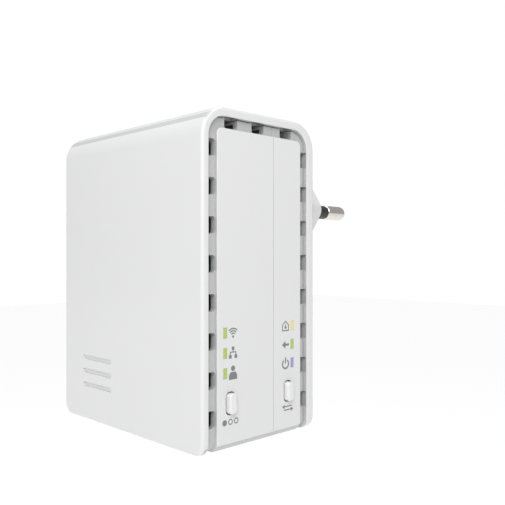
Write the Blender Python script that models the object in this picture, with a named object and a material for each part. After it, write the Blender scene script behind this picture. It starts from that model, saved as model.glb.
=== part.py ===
"""Plug-in powerline adapter with a wireless access point, built as an assembly of separate pieces.

Every size is in metres. Pieces are laid out in the case frame: X runs across the case towards the
indicator panel, Y runs from the front face into the wall, Z runs up, and its origin is the middle
of the front face's lower edge. An empty carries all the pieces and moves the case frame so that
the world's origin lies at the centre of the plug nose's end face.
"""

import math

import bmesh
import bpy

# Case
CASE_WIDTH = 0.0565
CASE_HEIGHT = 0.0730
CASE_DEPTH = 0.0350
SLEEVE_CORNER = 0.0065
SLEEVE_FRONT_WALL = 0.00175
SLEEVE_TOP_WALL = 0.0023
SLEEVE_REAR_WALL = 0.00255
SLEEVE_FOOT_RADIUS = 0.0030
SLEEVE_OUTER_FILLET = 0.0009
SLEEVE_INNER_FILLET = 0.0003
SLEEVE_GAP = 0.00025

# Inner housings
FLOOR_RECESS = 0.0011
PANEL_RECESS = 0.0004
PANEL_MARGIN = 0.0022
PANEL_TOP_MARGIN = 0.0021
PANEL_CORNER = 0.0014
PANEL_FILLET = 0.00025
WALL = 0.0017
SEAM_TO_REAR = 0.01365
SEAM_GAP = 0.0003
SEAM_LIP = 0.0007
SEAM_LIP_REACH = 0.0012
PIECE_GAP = 0.0003

# Vent slots
SLOT_PITCH = 0.00814
SLOT_LENGTH = 0.00365
SLOT_SKIN = 0.0004
SLOT_CORNER = 0.0007
SLOT_REACH = 0.0030
SLOT_FIRST_HEIGHT = 0.00735
SLOT_TOP_CLEAR = 0.0038
TOP_SLOT_PITCH = 0.0086

# Screws and their bosses
SCREW_INSET = 0.00845
SCREW_FOOT_HEIGHT = 0.0044
SCREW_TOP_DROP = 0.0070
SCREW_SHANK = 0.0011
SCREW_HEAD = 0.0021
SCREW_HEAD_HEIGHT = 0.0014
SCREW_BITE = 0.0060
SCREW_CLEARANCE = 0.0003
BOSS_WALL = 0.0012

# Plug
PLUG_DROP = 0.0190
NOSE_WIDTH = 0.0353
NOSE_HEIGHT = 0.0137
NOSE_LENGTH = 0.0170
NOSE_FLANGE = 0.0020
NOSE_FLANGE_THICKNESS = 0.0011
NOSE_NECK_LENGTH = 0.0061
NOSE_DRAFT = 0.0002
NOSE_EDGE_RADIUS = 0.0006
NOSE_SIDE_SLOPE = 0.62
NOSE_SIDE_ROUND = 0.35
PIN_SPACING = 0.0186
PIN_TIP_SPACING = 0.0175
PIN_LENGTH = 0.0190
PIN_RADIUS = 0.0020
PIN_CORE_RADIUS = 0.0011
PIN_SLEEVE_LENGTH = 0.0100
PIN_SLEEVE_ROOT = 0.0020
PIN_SLEEVE_GAP = 0.00015
CONTACT_WIDTH = 0.0042
CONTACT_THICKNESS = 0.0004
CONTACT_OVERLAP = 0.0038

# Boards
BOARD_THICKNESS = 0.0016
BOARD_EDGE_GAP = 0.0006
BOARD_STANDOFF = 0.0005
REAR_BOARD_CLEAR = 0.0029

# Indicators and buttons
INDICATOR_WIDTH = 0.0011
INDICATOR_HEIGHT = 0.0023
INDICATOR_PITCH = 0.00430
INDICATOR_FIRST_HEIGHT = 0.01665
INDICATOR_COUNT = 3
WINDOW_CLEARANCE = 0.00015
GUIDE_BAR = 0.0009
LED_DEPTH = 0.0016
LED_STANDOFF = 0.0008
BUTTON_WIDTH = 0.0021
BUTTON_HEIGHT = 0.0044
BUTTON_CORNER = 0.0008
BUTTON_HEIGHT_ABOVE_BASE = 0.01020
BUTTON_PROUD = 0.0012
BUTTON_GAP = 0.0003
BUTTON_TRAVEL = 0.0005
BUTTON_BOARD_OFFSET = 0.0023
FLANGE_LIP = 0.0008
FLANGE_THICKNESS = 0.0006
SWITCH_DEPTH = 0.0040
SWITCH_WIDTH = 0.0040
SWITCH_HEIGHT = 0.0046
PLUNGER_WIDTH = 0.0016
PLUNGER_HEIGHT = 0.0024
PLUNGER_CORNER = 0.00027
PLUNGER_CLEARANCE = 0.00015

# Parts on the boards: across X, up Z, and how far each stands off its board
MAIN_CHIP = (0.0120, 0.0120, 0.0011)
MEMORY_CHIP = (0.0080, 0.0120, 0.0011)
FLASH_CHIP = (0.0060, 0.0050, 0.0012)
RADIO_SHIELD = (0.0110, 0.0140, 0.0022)
CLOCK_CRYSTAL = (0.0050, 0.0032, 0.0012)
LINE_MAGNETICS = (0.0126, 0.0090, 0.0048)
POWER_INDUCTOR = (0.0052, 0.0052, 0.0030)
HEAT_SINK = (0.0140, 0.0140, 0.0060)
HEAT_SINK_BASE = 0.0012
HEAT_SINK_FIN = 0.0008
HEAT_SINK_FINS = 7
ANTENNA_SHEET = 0.0004
ANTENNA_ARM = 0.0105
ANTENNA_HEIGHT = 0.0048
ANTENNA_WIDTH = 0.0030
TRANSFORMER_CORE = (0.0160, 0.0052, 0.0145)
TRANSFORMER_LEG = 0.0024
TRANSFORMER_WINDING_LENGTH = 0.0130
BULK_CAN = (0.0045, 0.0160)
OUTPUT_CAN = (0.0031, 0.0110)
FUSE_CAN = (0.0042, 0.0078)
VARISTOR = (0.0045, 0.0032)
MAINS_CAPACITOR = (0.0060, 0.0130, 0.0110)
MAINS_CHOKE = (0.0100, 0.0090, 0.0095)
BRIDGE_RECTIFIER = (0.0085, 0.0040, 0.0025)
BOARD_LINK = (0.0100, 0.0034)
LINE_COUPLER = (0.0080, 0.0070, 0.0050)
MODEM_CHIP = (0.0120, 0.0120, 0.0012)
OPTOCOUPLER = (0.0065, 0.0036, 0.0034)
PART_FILLET = 0.0003
SOFT_PART_FILLET = 0.0008

# Where the parts stand: X and Z from the middle of their board's top or bottom edge
CHIP_DROP = 0.0160
CHIP_COLUMN = 0.0130
SHIELD_COLUMN = -0.0138
SHIELD_RISE = 0.0028
CRYSTAL_DROP = 0.0132
FLASH_DROP = 0.0120
MAGNETICS_RISE = 0.0062
INDUCTOR_PLACE = (0.0135, 0.0052)
ANTENNA_DROP = 0.0030
ANTENNA_SIDE_GAP = 0.0010
TRANSFORMER_PLACE = (-0.0055, -0.0138)
BULK_CAN_INSET = 0.0052
BULK_CAN_DROP = 0.0105
BULK_CAN_PITCH = 0.0097
MAINS_CAPACITOR_PLACE = (0.0070, -0.0120)
VARISTOR_PLACE = (0.0126, -0.0115)
FUSE_INSET = 0.0050
FUSE_DROP = 0.0100
RECTIFIER_DROP = 0.0024
LINK_INSET = 0.0060
LINK_DROP = 0.0030
OUTPUT_CAN_PLACE = (0.0125, -0.0222)
CHOKE_PLACE = (-0.0150, 0.0115)
COUPLER_PLACE = (0.0125, 0.0075)
MODEM_RISE = 0.0092
OPTOCOUPLER_RISE = 0.0178

# Network jack
JACK_WIDTH = 0.0160
JACK_THICKNESS = 0.0134
JACK_LENGTH = 0.0210
JACK_PORT_WIDTH = 0.0119
JACK_PORT_THICKNESS = 0.0076
JACK_PORT_DEPTH = 0.0140
JACK_ROOF = 0.0023
JACK_LATCH_STEPS = ((0.0062, 0.0014), (0.0034, 0.0010))
JACK_SETBACK = 0.0004
JACK_PINS = 8
JACK_PIN_PITCH = 0.00102
JACK_PIN_THICKNESS = 0.00045

JACK_CARRIER_DEPTH = 0.0036
JACK_SPRING_ROOT = (0.0026, 0.0031)
JACK_SPRING_TIP_THICKNESS = 0.0005
JACK_SPRING_TIP_HEIGHT = 0.0030

# Grip grooves on the sleeve's front face
GROOVE_COUNT = 3
GROOVE_LENGTH = 0.0130
GROOVE_WIDTH = 0.0011
GROOVE_DEPTH = 0.0004
GROOVE_PITCH = 0.0034
GROOVE_SIDE_INSET = 0.0158
GROOVE_HEIGHT = 0.0090

# Rounding
CORNER_STEPS = 6
SMALL_STEPS = 3
ROUND_STEPS = 24
SHARP_ANGLE = math.radians(38)
CUT_MARGIN = 0.0020

# Positions worked out from the sizes above
HOUSING_FRONT = SLEEVE_FRONT_WALL + SLEEVE_GAP
HOUSING_REAR = CASE_DEPTH - SLEEVE_REAR_WALL - SLEEVE_GAP
HOUSING_TOP = CASE_HEIGHT - SLEEVE_TOP_WALL - SLEEVE_GAP
HOUSING_CORNER = SLEEVE_CORNER - SLEEVE_TOP_WALL - SLEEVE_GAP
FLOOR_X = CASE_WIDTH / 2 - FLOOR_RECESS
FLOOR_Z = FLOOR_RECESS - PANEL_RECESS
PANEL_X = CASE_WIDTH / 2 - PANEL_RECESS
PANEL_FRONT = HOUSING_FRONT + PANEL_MARGIN
PANEL_REAR = HOUSING_REAR - PANEL_MARGIN + SLEEVE_GAP
PANEL_TOP = HOUSING_TOP - PANEL_TOP_MARGIN
SEAM_Y = CASE_DEPTH - SEAM_TO_REAR
CAVITY_X = FLOOR_X - WALL
CAVITY_FRONT = HOUSING_FRONT + WALL
CAVITY_REAR = HOUSING_REAR - WALL
CAVITY_FLOOR = FLOOR_Z + WALL
CAVITY_TOP = HOUSING_TOP - WALL
SCREW_X = CASE_WIDTH / 2 - SCREW_INSET
SCREW_HEIGHTS = (SCREW_FOOT_HEIGHT, CASE_HEIGHT - SCREW_TOP_DROP)
SCREW_HOLE = SCREW_SHANK + SCREW_CLEARANCE
SCREW_RECESS = SCREW_HEAD + SCREW_CLEARANCE
PLUG_Z = CASE_HEIGHT - PLUG_DROP
NOSE_END = CASE_DEPTH + NOSE_LENGTH
FLANGE_BACK = CASE_DEPTH - PIECE_GAP / 3
FLANGE_FACE = FLANGE_BACK - NOSE_FLANGE_THICKNESS
NECK_END = CASE_DEPTH - NOSE_NECK_LENGTH
PIN_TILT = math.atan2((PIN_SPACING - PIN_TIP_SPACING) / 2, PIN_LENGTH)
BOARD_X = CAVITY_X - BOARD_EDGE_GAP
BOARD_FLOOR = CAVITY_FLOOR + BOARD_STANDOFF
FRONT_BOARD_BACK = CAVITY_FRONT + BOARD_STANDOFF
FRONT_BOARD_FACE = FRONT_BOARD_BACK + BOARD_THICKNESS
REAR_BOARD_BACK = CAVITY_REAR - BOARD_STANDOFF
REAR_BOARD_FACE = REAR_BOARD_BACK - BOARD_THICKNESS
FRONT_BOARD_TOP = CAVITY_TOP - REAR_BOARD_CLEAR
REAR_BOARD_TOP = PLUG_Z - NOSE_HEIGHT / 2 - REAR_BOARD_CLEAR
JACK_FRONT = FRONT_BOARD_FACE + PIECE_GAP
JACK_REAR = JACK_FRONT + JACK_THICKNESS


# ---------------------------------------------------------------- materials


def make_material(name, colour, roughness, metallic=0.0, transmission=0.0):
    """A Principled material of one plain finish."""
    material = bpy.data.materials.new(name)
    material.use_nodes = True
    shader = material.node_tree.nodes["Principled BSDF"]
    shader.inputs["Base Color"].default_value = (*colour, 1.0)
    shader.inputs["Roughness"].default_value = roughness
    shader.inputs["Metallic"].default_value = metallic
    shader.inputs["Transmission Weight"].default_value = transmission
    material.diffuse_color = (*colour, 1.0)
    return material


def make_materials():
    """All the finishes, by the name of what they are made of."""
    return {
        "white_gloss": make_material("white_gloss", (0.82, 0.82, 0.82), 0.28),
        "white_satin": make_material("white_satin", (0.78, 0.78, 0.78), 0.42),
        "button_white": make_material("button_white", (0.88, 0.88, 0.88), 0.30),
        "plug_white": make_material("plug_white", (0.72, 0.72, 0.71), 0.45),
        "light_guide": make_material("light_guide", (0.90, 0.92, 0.90), 0.15, 0.0, 0.6),
        "nickel": make_material("nickel", (0.72, 0.70, 0.66), 0.22, 1.0),
        "brass": make_material("brass", (0.80, 0.62, 0.32), 0.30, 1.0),
        "gold": make_material("gold", (0.86, 0.66, 0.30), 0.25, 1.0),
        "steel": make_material("steel", (0.55, 0.56, 0.58), 0.35, 1.0),
        "aluminium": make_material("aluminium", (0.70, 0.71, 0.73), 0.40, 1.0),
        "black_plastic": make_material("black_plastic", (0.03, 0.03, 0.03), 0.50),
        "ferrite": make_material("ferrite", (0.07, 0.07, 0.08), 0.65),
        "tape_yellow": make_material("tape_yellow", (0.85, 0.66, 0.12), 0.45),
        "board_green": make_material("board_green", (0.04, 0.22, 0.10), 0.40),
        "can_black": make_material("can_black", (0.05, 0.05, 0.07), 0.35),
        "film_blue": make_material("film_blue", (0.08, 0.16, 0.42), 0.40),
        "film_grey": make_material("film_grey", (0.55, 0.56, 0.55), 0.50),
        "led_body": make_material("led_body", (0.88, 0.86, 0.74), 0.35),
    }


# ---------------------------------------------------------------- outlines


def arc(centre, radius, start, end, steps):
    """Points of an arc about a centre, from start to end in degrees."""
    points = []
    for step in range(steps + 1):
        angle = math.radians(start + (end - start) * step / steps)
        points.append((centre[0] + radius * math.cos(angle), centre[1] + radius * math.sin(angle)))
    return points


def circle(centre, radius, steps=ROUND_STEPS):
    """A full circle's points, without a doubled last one."""
    return arc(centre, radius, 0, 360, steps)[:-1]


def rectangle(low, high):
    """The four corners of a rectangle, anticlockwise."""
    return [low, (high[0], low[1]), high, (low[0], high[1])]


def rounded_rectangle(low, high, radius, steps=SMALL_STEPS):
    """A rectangle with four round corners, anticlockwise from the lower right one."""
    outline = []
    outline += arc((high[0] - radius, low[1] + radius), radius, -90, 0, steps)
    outline += arc((high[0] - radius, high[1] - radius), radius, 0, 90, steps)
    outline += arc((low[0] + radius, high[1] - radius), radius, 90, 180, steps)
    outline += arc((low[0] + radius, low[1] + radius), radius, 180, 270, steps)
    return outline


def round_topped(low, high, radius, steps=CORNER_STEPS):
    """A rectangle with only its two upper corners round."""
    outline = [low, (high[0], low[1])]
    outline += arc((high[0] - radius, high[1] - radius), radius, 0, 90, steps)
    outline += arc((low[0] + radius, high[1] - radius), radius, 90, 180, steps)
    return outline


def lozenge(half_width, half_height, steps=2):
    """The flattened hexagon of a two-pin plug's nose, with its side points rounded."""
    taper = NOSE_SIDE_SLOPE * half_height
    nose_radius = NOSE_SIDE_ROUND * half_height
    outline = []
    for side in (1, -1):
        centre_x = side * (half_width - nose_radius)
        shoulder = side * (half_width - taper)
        outline.append((shoulder, -side * half_height))
        start = -60 if side > 0 else 120
        outline += arc((centre_x, 0.0), nose_radius, start, start + 120, 2 * steps)
        outline.append((shoulder, side * half_height))
    return outline


def comb(base_low, base_high, tooth_spans, tooth_tip):
    """A bar along the second axis with teeth standing out of it along the first axis."""
    outline = [base_low, (base_high[0], base_low[1])]
    for start, end in tooth_spans:
        outline += [
            (base_high[0], start),
            (tooth_tip, start),
            (tooth_tip, end),
            (base_high[0], end),
        ]
    outline += [base_high, (base_low[0], base_high[1])]
    return outline


# ---------------------------------------------------------------- solids


def to_space(point, level, axis):
    """A point of a flat outline, put at a level along X, Y or Z."""
    first, second = point
    if axis == "X":
        return (level, first, second)
    if axis == "Y":
        return (first, level, second)
    return (first, second, level)


def loft(bm, sections, axis, closed=False):
    """Joins outlines of equal length into one skin; a closed loft returns to its first outline."""
    rings = []
    for outline, level in sections:
        rings.append([bm.verts.new(to_space(point, level, axis)) for point in outline])
    pairs = list(zip(rings, rings[1:]))
    if closed:
        pairs.append((rings[-1], rings[0]))
    for ring, next_ring in pairs:
        for index in range(len(ring)):
            after = (index + 1) % len(ring)
            bm.faces.new((ring[index], ring[after], next_ring[after], next_ring[index]))
    if not closed:
        bm.faces.new(rings[0])
        bm.faces.new(rings[-1])


def prism(bm, outline, axis, start, end):
    """One outline extruded along an axis."""
    loft(bm, [(outline, start), (outline, end)], axis)


def block(bm, low, high):
    """A box between two corners."""
    prism(bm, rectangle(low[:2], high[:2]), "Z", low[2], high[2])


def tube(bm, outer, inner, axis, start, end):
    """A wall between two outlines of equal length."""
    sections = [(outer, start), (outer, end), (inner, end), (inner, start)]
    loft(bm, sections, axis, closed=True)


def turned(bm, profile, axis, centre=(0.0, 0.0), steps=ROUND_STEPS):
    """A turned solid from (level, radius) pairs along an axis."""
    sections = [(circle(centre, radius, steps), level) for level, radius in profile]
    loft(bm, sections, axis)


def edge_middle(edge):
    """The point halfway along an edge."""
    return (edge.verts[0].co + edge.verts[1].co) / 2


def edge_is_along(edge, axis):
    """True when an edge runs along X, Y or Z."""
    direction = (edge.verts[1].co - edge.verts[0].co).normalized()
    return abs(direction["XYZ".index(axis)]) > 0.999


def round_edges(bm, width, steps, wanted=None):
    """Bevels the sharp edges that a test picks, or all of them."""
    bmesh.ops.recalc_face_normals(bm, faces=bm.faces)
    edges = []
    for edge in bm.edges:
        if len(edge.link_faces) == 2 and edge.calc_face_angle() > SHARP_ANGLE:
            if wanted is None or wanted(edge):
                edges.append(edge)
    bmesh.ops.bevel(
        bm,
        geom=edges,
        offset=width,
        segments=steps,
        profile=0.5,
        affect="EDGES",
        clamp_overlap=True,
        material=-1,
    )


# ---------------------------------------------------------------- objects


def add_mesh_object(name, bm, location):
    """A new object in the case frame, closed and smooth where it is round."""
    bmesh.ops.recalc_face_normals(bm, faces=bm.faces)
    mesh = bpy.data.meshes.new(name)
    bm.to_mesh(mesh)
    bm.free()
    mesh.shade_smooth()
    mesh.set_sharp_from_angle(angle=SHARP_ANGLE)
    item = bpy.data.objects.new(name, mesh)
    item.location = location
    item.parent = bpy.data.objects["case_frame"]
    bpy.context.scene.collection.objects.link(item)
    return item


def add_piece(name, bm, material, location=(0.0, 0.0, 0.0)):
    """A piece of the adapter, with its own material."""
    piece = add_mesh_object(name, bm, location)
    piece.data.materials.append(material)
    return piece


def add_tool(name, bm, location=(0.0, 0.0, 0.0)):
    """A hidden solid that only cuts or joins other pieces."""
    tool = add_mesh_object(name, bm, location)
    tool.hide_render = True
    tool.display_type = "WIRE"
    return tool


def combine(piece, operation, tool):
    """Adds a Boolean modifier with one tool."""
    modifier = piece.modifiers.new(tool.name, "BOOLEAN")
    modifier.operation = operation
    modifier.solver = "EXACT"
    modifier.object = tool


# ---------------------------------------------------------------- outer sleeve


def sleeve_outline():
    """The sleeve's section across the case: two legs and a roof, open at the bottom."""
    inner_radius = SLEEVE_CORNER - SLEEVE_TOP_WALL
    roof = CASE_HEIGHT - SLEEVE_TOP_WALL
    inner_rear = CASE_DEPTH - SLEEVE_REAR_WALL
    outline = [(CASE_DEPTH, 0.0)]
    outline += arc(
        (CASE_DEPTH - SLEEVE_CORNER, CASE_HEIGHT - SLEEVE_CORNER), SLEEVE_CORNER, 0, 90, CORNER_STEPS
    )
    outline += arc((SLEEVE_CORNER, CASE_HEIGHT - SLEEVE_CORNER), SLEEVE_CORNER, 90, 180, CORNER_STEPS)
    outline.append((0.0, 0.0))
    outline.append((SLEEVE_FRONT_WALL, 0.0))
    outline += arc(
        (SLEEVE_FRONT_WALL + inner_radius, roof - inner_radius), inner_radius, 180, 90, CORNER_STEPS
    )
    outline += arc((inner_rear - inner_radius, roof - inner_radius), inner_radius, 90, 0, CORNER_STEPS)
    outline.append((inner_rear, 0.0))
    return outline


def sleeve_edge_is_foot(edge):
    """Picks the four lower corners of the legs."""
    middle = edge_middle(edge)
    at_end = abs(middle.x) > CASE_WIDTH / 2 - SLEEVE_GAP
    return at_end and middle.z < SLEEVE_GAP and edge_is_along(edge, "Y")


def sleeve_edge_is_inner(edge):
    """True on the rim's inner edge, beside the housings."""
    middle = edge_middle(edge)
    behind_front = middle.y > SLEEVE_FRONT_WALL - SLEEVE_GAP
    before_rear = middle.y < CASE_DEPTH - SLEEVE_REAR_WALL + SLEEVE_GAP
    return behind_front and before_rear and middle.z < CASE_HEIGHT - SLEEVE_TOP_WALL + SLEEVE_GAP


def sleeve_edge_is_outer(edge):
    """True on every other sharp edge, apart from the corners where a leg ends."""
    middle = edge_middle(edge)
    return not sleeve_edge_is_inner(edge) and not (middle.z < SLEEVE_GAP and edge_is_along(edge, "Y"))


def make_groove_tool():
    """A stack of short round-ended grooves for the fingers, low on the front face."""
    bm = bmesh.new()
    centre_x = -CASE_WIDTH / 2 + GROOVE_SIDE_INSET
    for index in range(GROOVE_COUNT):
        middle = GROOVE_HEIGHT + index * GROOVE_PITCH
        low = (centre_x - GROOVE_LENGTH / 2, middle - GROOVE_WIDTH / 2)
        high = (centre_x + GROOVE_LENGTH / 2, middle + GROOVE_WIDTH / 2)
        outline = rounded_rectangle(low, high, GROOVE_WIDTH / 2 * 0.98, 4)
        prism(bm, outline, "Y", -CUT_MARGIN, GROOVE_DEPTH)
    return add_tool("groove_tool", bm)


def make_nose_tools():
    """The opening that the plug neck passes through, and the seat of its flange."""
    opening = bmesh.new()
    outline = lozenge(NOSE_WIDTH / 2 + PIECE_GAP, NOSE_HEIGHT / 2 + PIECE_GAP)
    prism(opening, outline, "Y", NECK_END - CUT_MARGIN, CASE_DEPTH + CUT_MARGIN)
    seat = bmesh.new()
    reach = NOSE_FLANGE + PIECE_GAP
    outline = lozenge(NOSE_WIDTH / 2 + reach, NOSE_HEIGHT / 2 + reach)
    prism(seat, outline, "Y", FLANGE_FACE - PIECE_GAP, CASE_DEPTH + CUT_MARGIN)
    centre = (0.0, 0.0, PLUG_Z)
    return add_tool("nose_opening_tool", opening, centre), add_tool("nose_seat_tool", seat, centre)


def make_sleeve(material, nose_opening, nose_seat):
    """The white cover: front face, roof and rear leg in one sheet, round at every corner."""
    bm = bmesh.new()
    prism(bm, sleeve_outline(), "X", -CASE_WIDTH / 2, CASE_WIDTH / 2)
    round_edges(bm, SLEEVE_FOOT_RADIUS, CORNER_STEPS, sleeve_edge_is_foot)
    round_edges(bm, SLEEVE_OUTER_FILLET, SMALL_STEPS, sleeve_edge_is_outer)
    round_edges(bm, SLEEVE_INNER_FILLET, 1, sleeve_edge_is_inner)
    sleeve = add_piece("outer_sleeve", bm, material)
    combine(sleeve, "DIFFERENCE", make_groove_tool())
    combine(sleeve, "DIFFERENCE", nose_opening)
    combine(sleeve, "DIFFERENCE", nose_seat)
    return sleeve


# ---------------------------------------------------------------- housings


def edge_is_lower_corner(edge):
    """Picks the long lower edges that run along Y."""
    return edge_middle(edge).z < WALL and edge_is_along(edge, "Y")


def body_shape():
    """The solid that both housings are made from, up to the channel's floor."""
    bm = bmesh.new()
    outline = round_topped((HOUSING_FRONT, FLOOR_Z), (HOUSING_REAR, HOUSING_TOP), HOUSING_CORNER)
    prism(bm, outline, "X", -FLOOR_X, FLOOR_X)
    round_edges(bm, SLEEVE_FOOT_RADIUS - FLOOR_RECESS, CORNER_STEPS, edge_is_lower_corner)
    return bm


def make_panel_tool():
    """The raised band: a panel on each side, joined under the case."""
    bm = bmesh.new()
    outline = round_topped((PANEL_FRONT, 0.0), (PANEL_REAR, PANEL_TOP), PANEL_CORNER, SMALL_STEPS)
    prism(bm, outline, "X", -PANEL_X, PANEL_X)
    round_edges(bm, SLEEVE_FOOT_RADIUS - PANEL_RECESS, CORNER_STEPS, edge_is_lower_corner)
    round_edges(bm, PANEL_FILLET, 2)
    return add_tool("panel_tool", bm)


def make_cavity_tool():
    """The space inside the walls."""
    bm = bmesh.new()
    outline = round_topped(
        (CAVITY_FRONT, CAVITY_FLOOR), (CAVITY_REAR, CAVITY_TOP), HOUSING_CORNER - WALL, SMALL_STEPS
    )
    prism(bm, outline, "X", -CAVITY_X, CAVITY_X)
    return add_tool("cavity_tool", bm)


def slot_heights():
    """Heights of the side slots' middles, as many as fit below the roof."""
    heights = []
    height = SLOT_FIRST_HEIGHT
    while height + SLOT_LENGTH / 2 < HOUSING_TOP - SLOT_TOP_CLEAR:
        heights.append(height)
        height += SLOT_PITCH
    return heights


def top_slot_middles():
    """Places across the case of the slots under the roof, even about the panel's middle."""
    first = PANEL_FRONT + TOP_SLOT_PITCH / 2 + SLOT_CORNER
    room = PANEL_REAR - PANEL_CORNER - SLOT_LENGTH / 2 - first
    count = int(room / TOP_SLOT_PITCH) + 1
    middles = [first + index * TOP_SLOT_PITCH for index in range(count)]
    clear = SLOT_LENGTH / 2 + SLOT_SKIN
    return [middle for middle in middles if abs(middle - SEAM_Y) > clear]


def make_slot_tool():
    """Every vent slot of both side channels; each reaches round the corner into the outer wall."""
    bm = bmesh.new()
    spans = (
        (HOUSING_FRONT + SLOT_SKIN, PANEL_FRONT - SLOT_SKIN / 4),
        (PANEL_REAR + SLOT_SKIN / 4, HOUSING_REAR - SLOT_SKIN),
    )
    outlines = []
    for height in slot_heights():
        for near, far in spans:
            low = (near, height - SLOT_LENGTH / 2)
            high = (far, height + SLOT_LENGTH / 2)
            outlines.append(rounded_rectangle(low, high, SLOT_CORNER))
    for middle in top_slot_middles():
        low = (middle - SLOT_LENGTH / 2, PANEL_TOP + SLOT_SKIN / 4)
        high = (middle + SLOT_LENGTH / 2, HOUSING_TOP - SLOT_SKIN)
        outlines.append(rounded_rectangle(low, high, SLOT_CORNER))
    for outline in outlines:
        prism(bm, outline, "X", CAVITY_X - SLOT_REACH, FLOOR_X + CUT_MARGIN)
        prism(bm, outline, "X", -FLOOR_X - CUT_MARGIN, SLOT_REACH - CAVITY_X)
    return add_tool("vent_slot_tool", bm)


def wall_ring_outline(thickness):
    """The cavity's section at the seam, grown outwards into the wall."""
    low = (-CAVITY_X - thickness, CAVITY_FLOOR - thickness)
    high = (CAVITY_X + thickness, CAVITY_TOP + thickness)
    return rectangle(low, high)


def make_seam_lip_tool():
    """The thin inner lip of the front housing that reaches past the seam."""
    bm = bmesh.new()
    outer = wall_ring_outline(SEAM_LIP)
    tube(bm, outer, wall_ring_outline(0.0), "Y", SEAM_Y - WALL, SEAM_Y + SEAM_GAP / 2 + SEAM_LIP_REACH)
    return add_tool("seam_lip_tool", bm)


def make_seam_rebate_tool():
    """The step inside the rear housing's edge that takes the lip."""
    bm = bmesh.new()
    outer = wall_ring_outline(SEAM_LIP + PIECE_GAP)
    inner = wall_ring_outline(-PIECE_GAP)
    tube(bm, outer, inner, "Y", SEAM_Y - WALL, SEAM_Y + SEAM_GAP / 2 + SEAM_LIP_REACH + PIECE_GAP)
    return add_tool("seam_rebate_tool", bm)


def make_seam_tool(name, start, end):
    """A slab that trims a housing back to its side of the seam."""
    bm = bmesh.new()
    block(bm, (-CASE_WIDTH, start, -CASE_WIDTH), (CASE_WIDTH, end, 2 * CASE_HEIGHT))
    return add_tool(name, bm)


def screw_places():
    """X and Z of each screw."""
    return [(side * SCREW_X, height) for height in SCREW_HEIGHTS for side in (-1, 1)]


def make_screw_row_tool(name, radius, start, end):
    """The same round bar at each screw, for bosses, holes and clearances."""
    bm = bmesh.new()
    for centre in screw_places():
        prism(bm, circle(centre, radius), "Y", start, end)
    return add_tool(name, bm)


def make_window_tool(name, middle_y):
    """Openings in the panel for one column of indicators."""
    bm = bmesh.new()
    half_width = INDICATOR_WIDTH / 2
    for index in range(INDICATOR_COUNT):
        middle = INDICATOR_FIRST_HEIGHT + index * INDICATOR_PITCH
        low = (CAVITY_X - CUT_MARGIN, middle_y - half_width, middle - INDICATOR_HEIGHT / 2)
        high = (PANEL_X + CUT_MARGIN, middle_y + half_width, middle + INDICATOR_HEIGHT / 2)
        block(bm, low, high)
    return add_tool(name, bm)


def make_button_hole_tool(name, middle_y):
    """The opening in the panel that a button slides in."""
    bm = bmesh.new()
    reach_y = BUTTON_WIDTH / 2 + BUTTON_GAP
    reach_z = BUTTON_HEIGHT / 2 + BUTTON_GAP
    low = (middle_y - reach_y, BUTTON_HEIGHT_ABOVE_BASE - reach_z)
    high = (middle_y + reach_y, BUTTON_HEIGHT_ABOVE_BASE + reach_z)
    outline = rounded_rectangle(low, high, BUTTON_CORNER + BUTTON_GAP)
    prism(bm, outline, "X", CAVITY_X - CUT_MARGIN, PANEL_X + CUT_MARGIN)
    return add_tool(name, bm)


def make_jack_hole_tool():
    """The opening under the case for the network jack's mouth."""
    bm = bmesh.new()
    reach = JACK_WIDTH / 2 + PIECE_GAP
    low = (-reach, JACK_FRONT - PIECE_GAP)
    high = (reach, JACK_REAR + PIECE_GAP)
    prism(bm, rectangle(low, high), "Z", -CUT_MARGIN, CAVITY_FLOOR + CUT_MARGIN)
    return add_tool("jack_hole_tool", bm)


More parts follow.
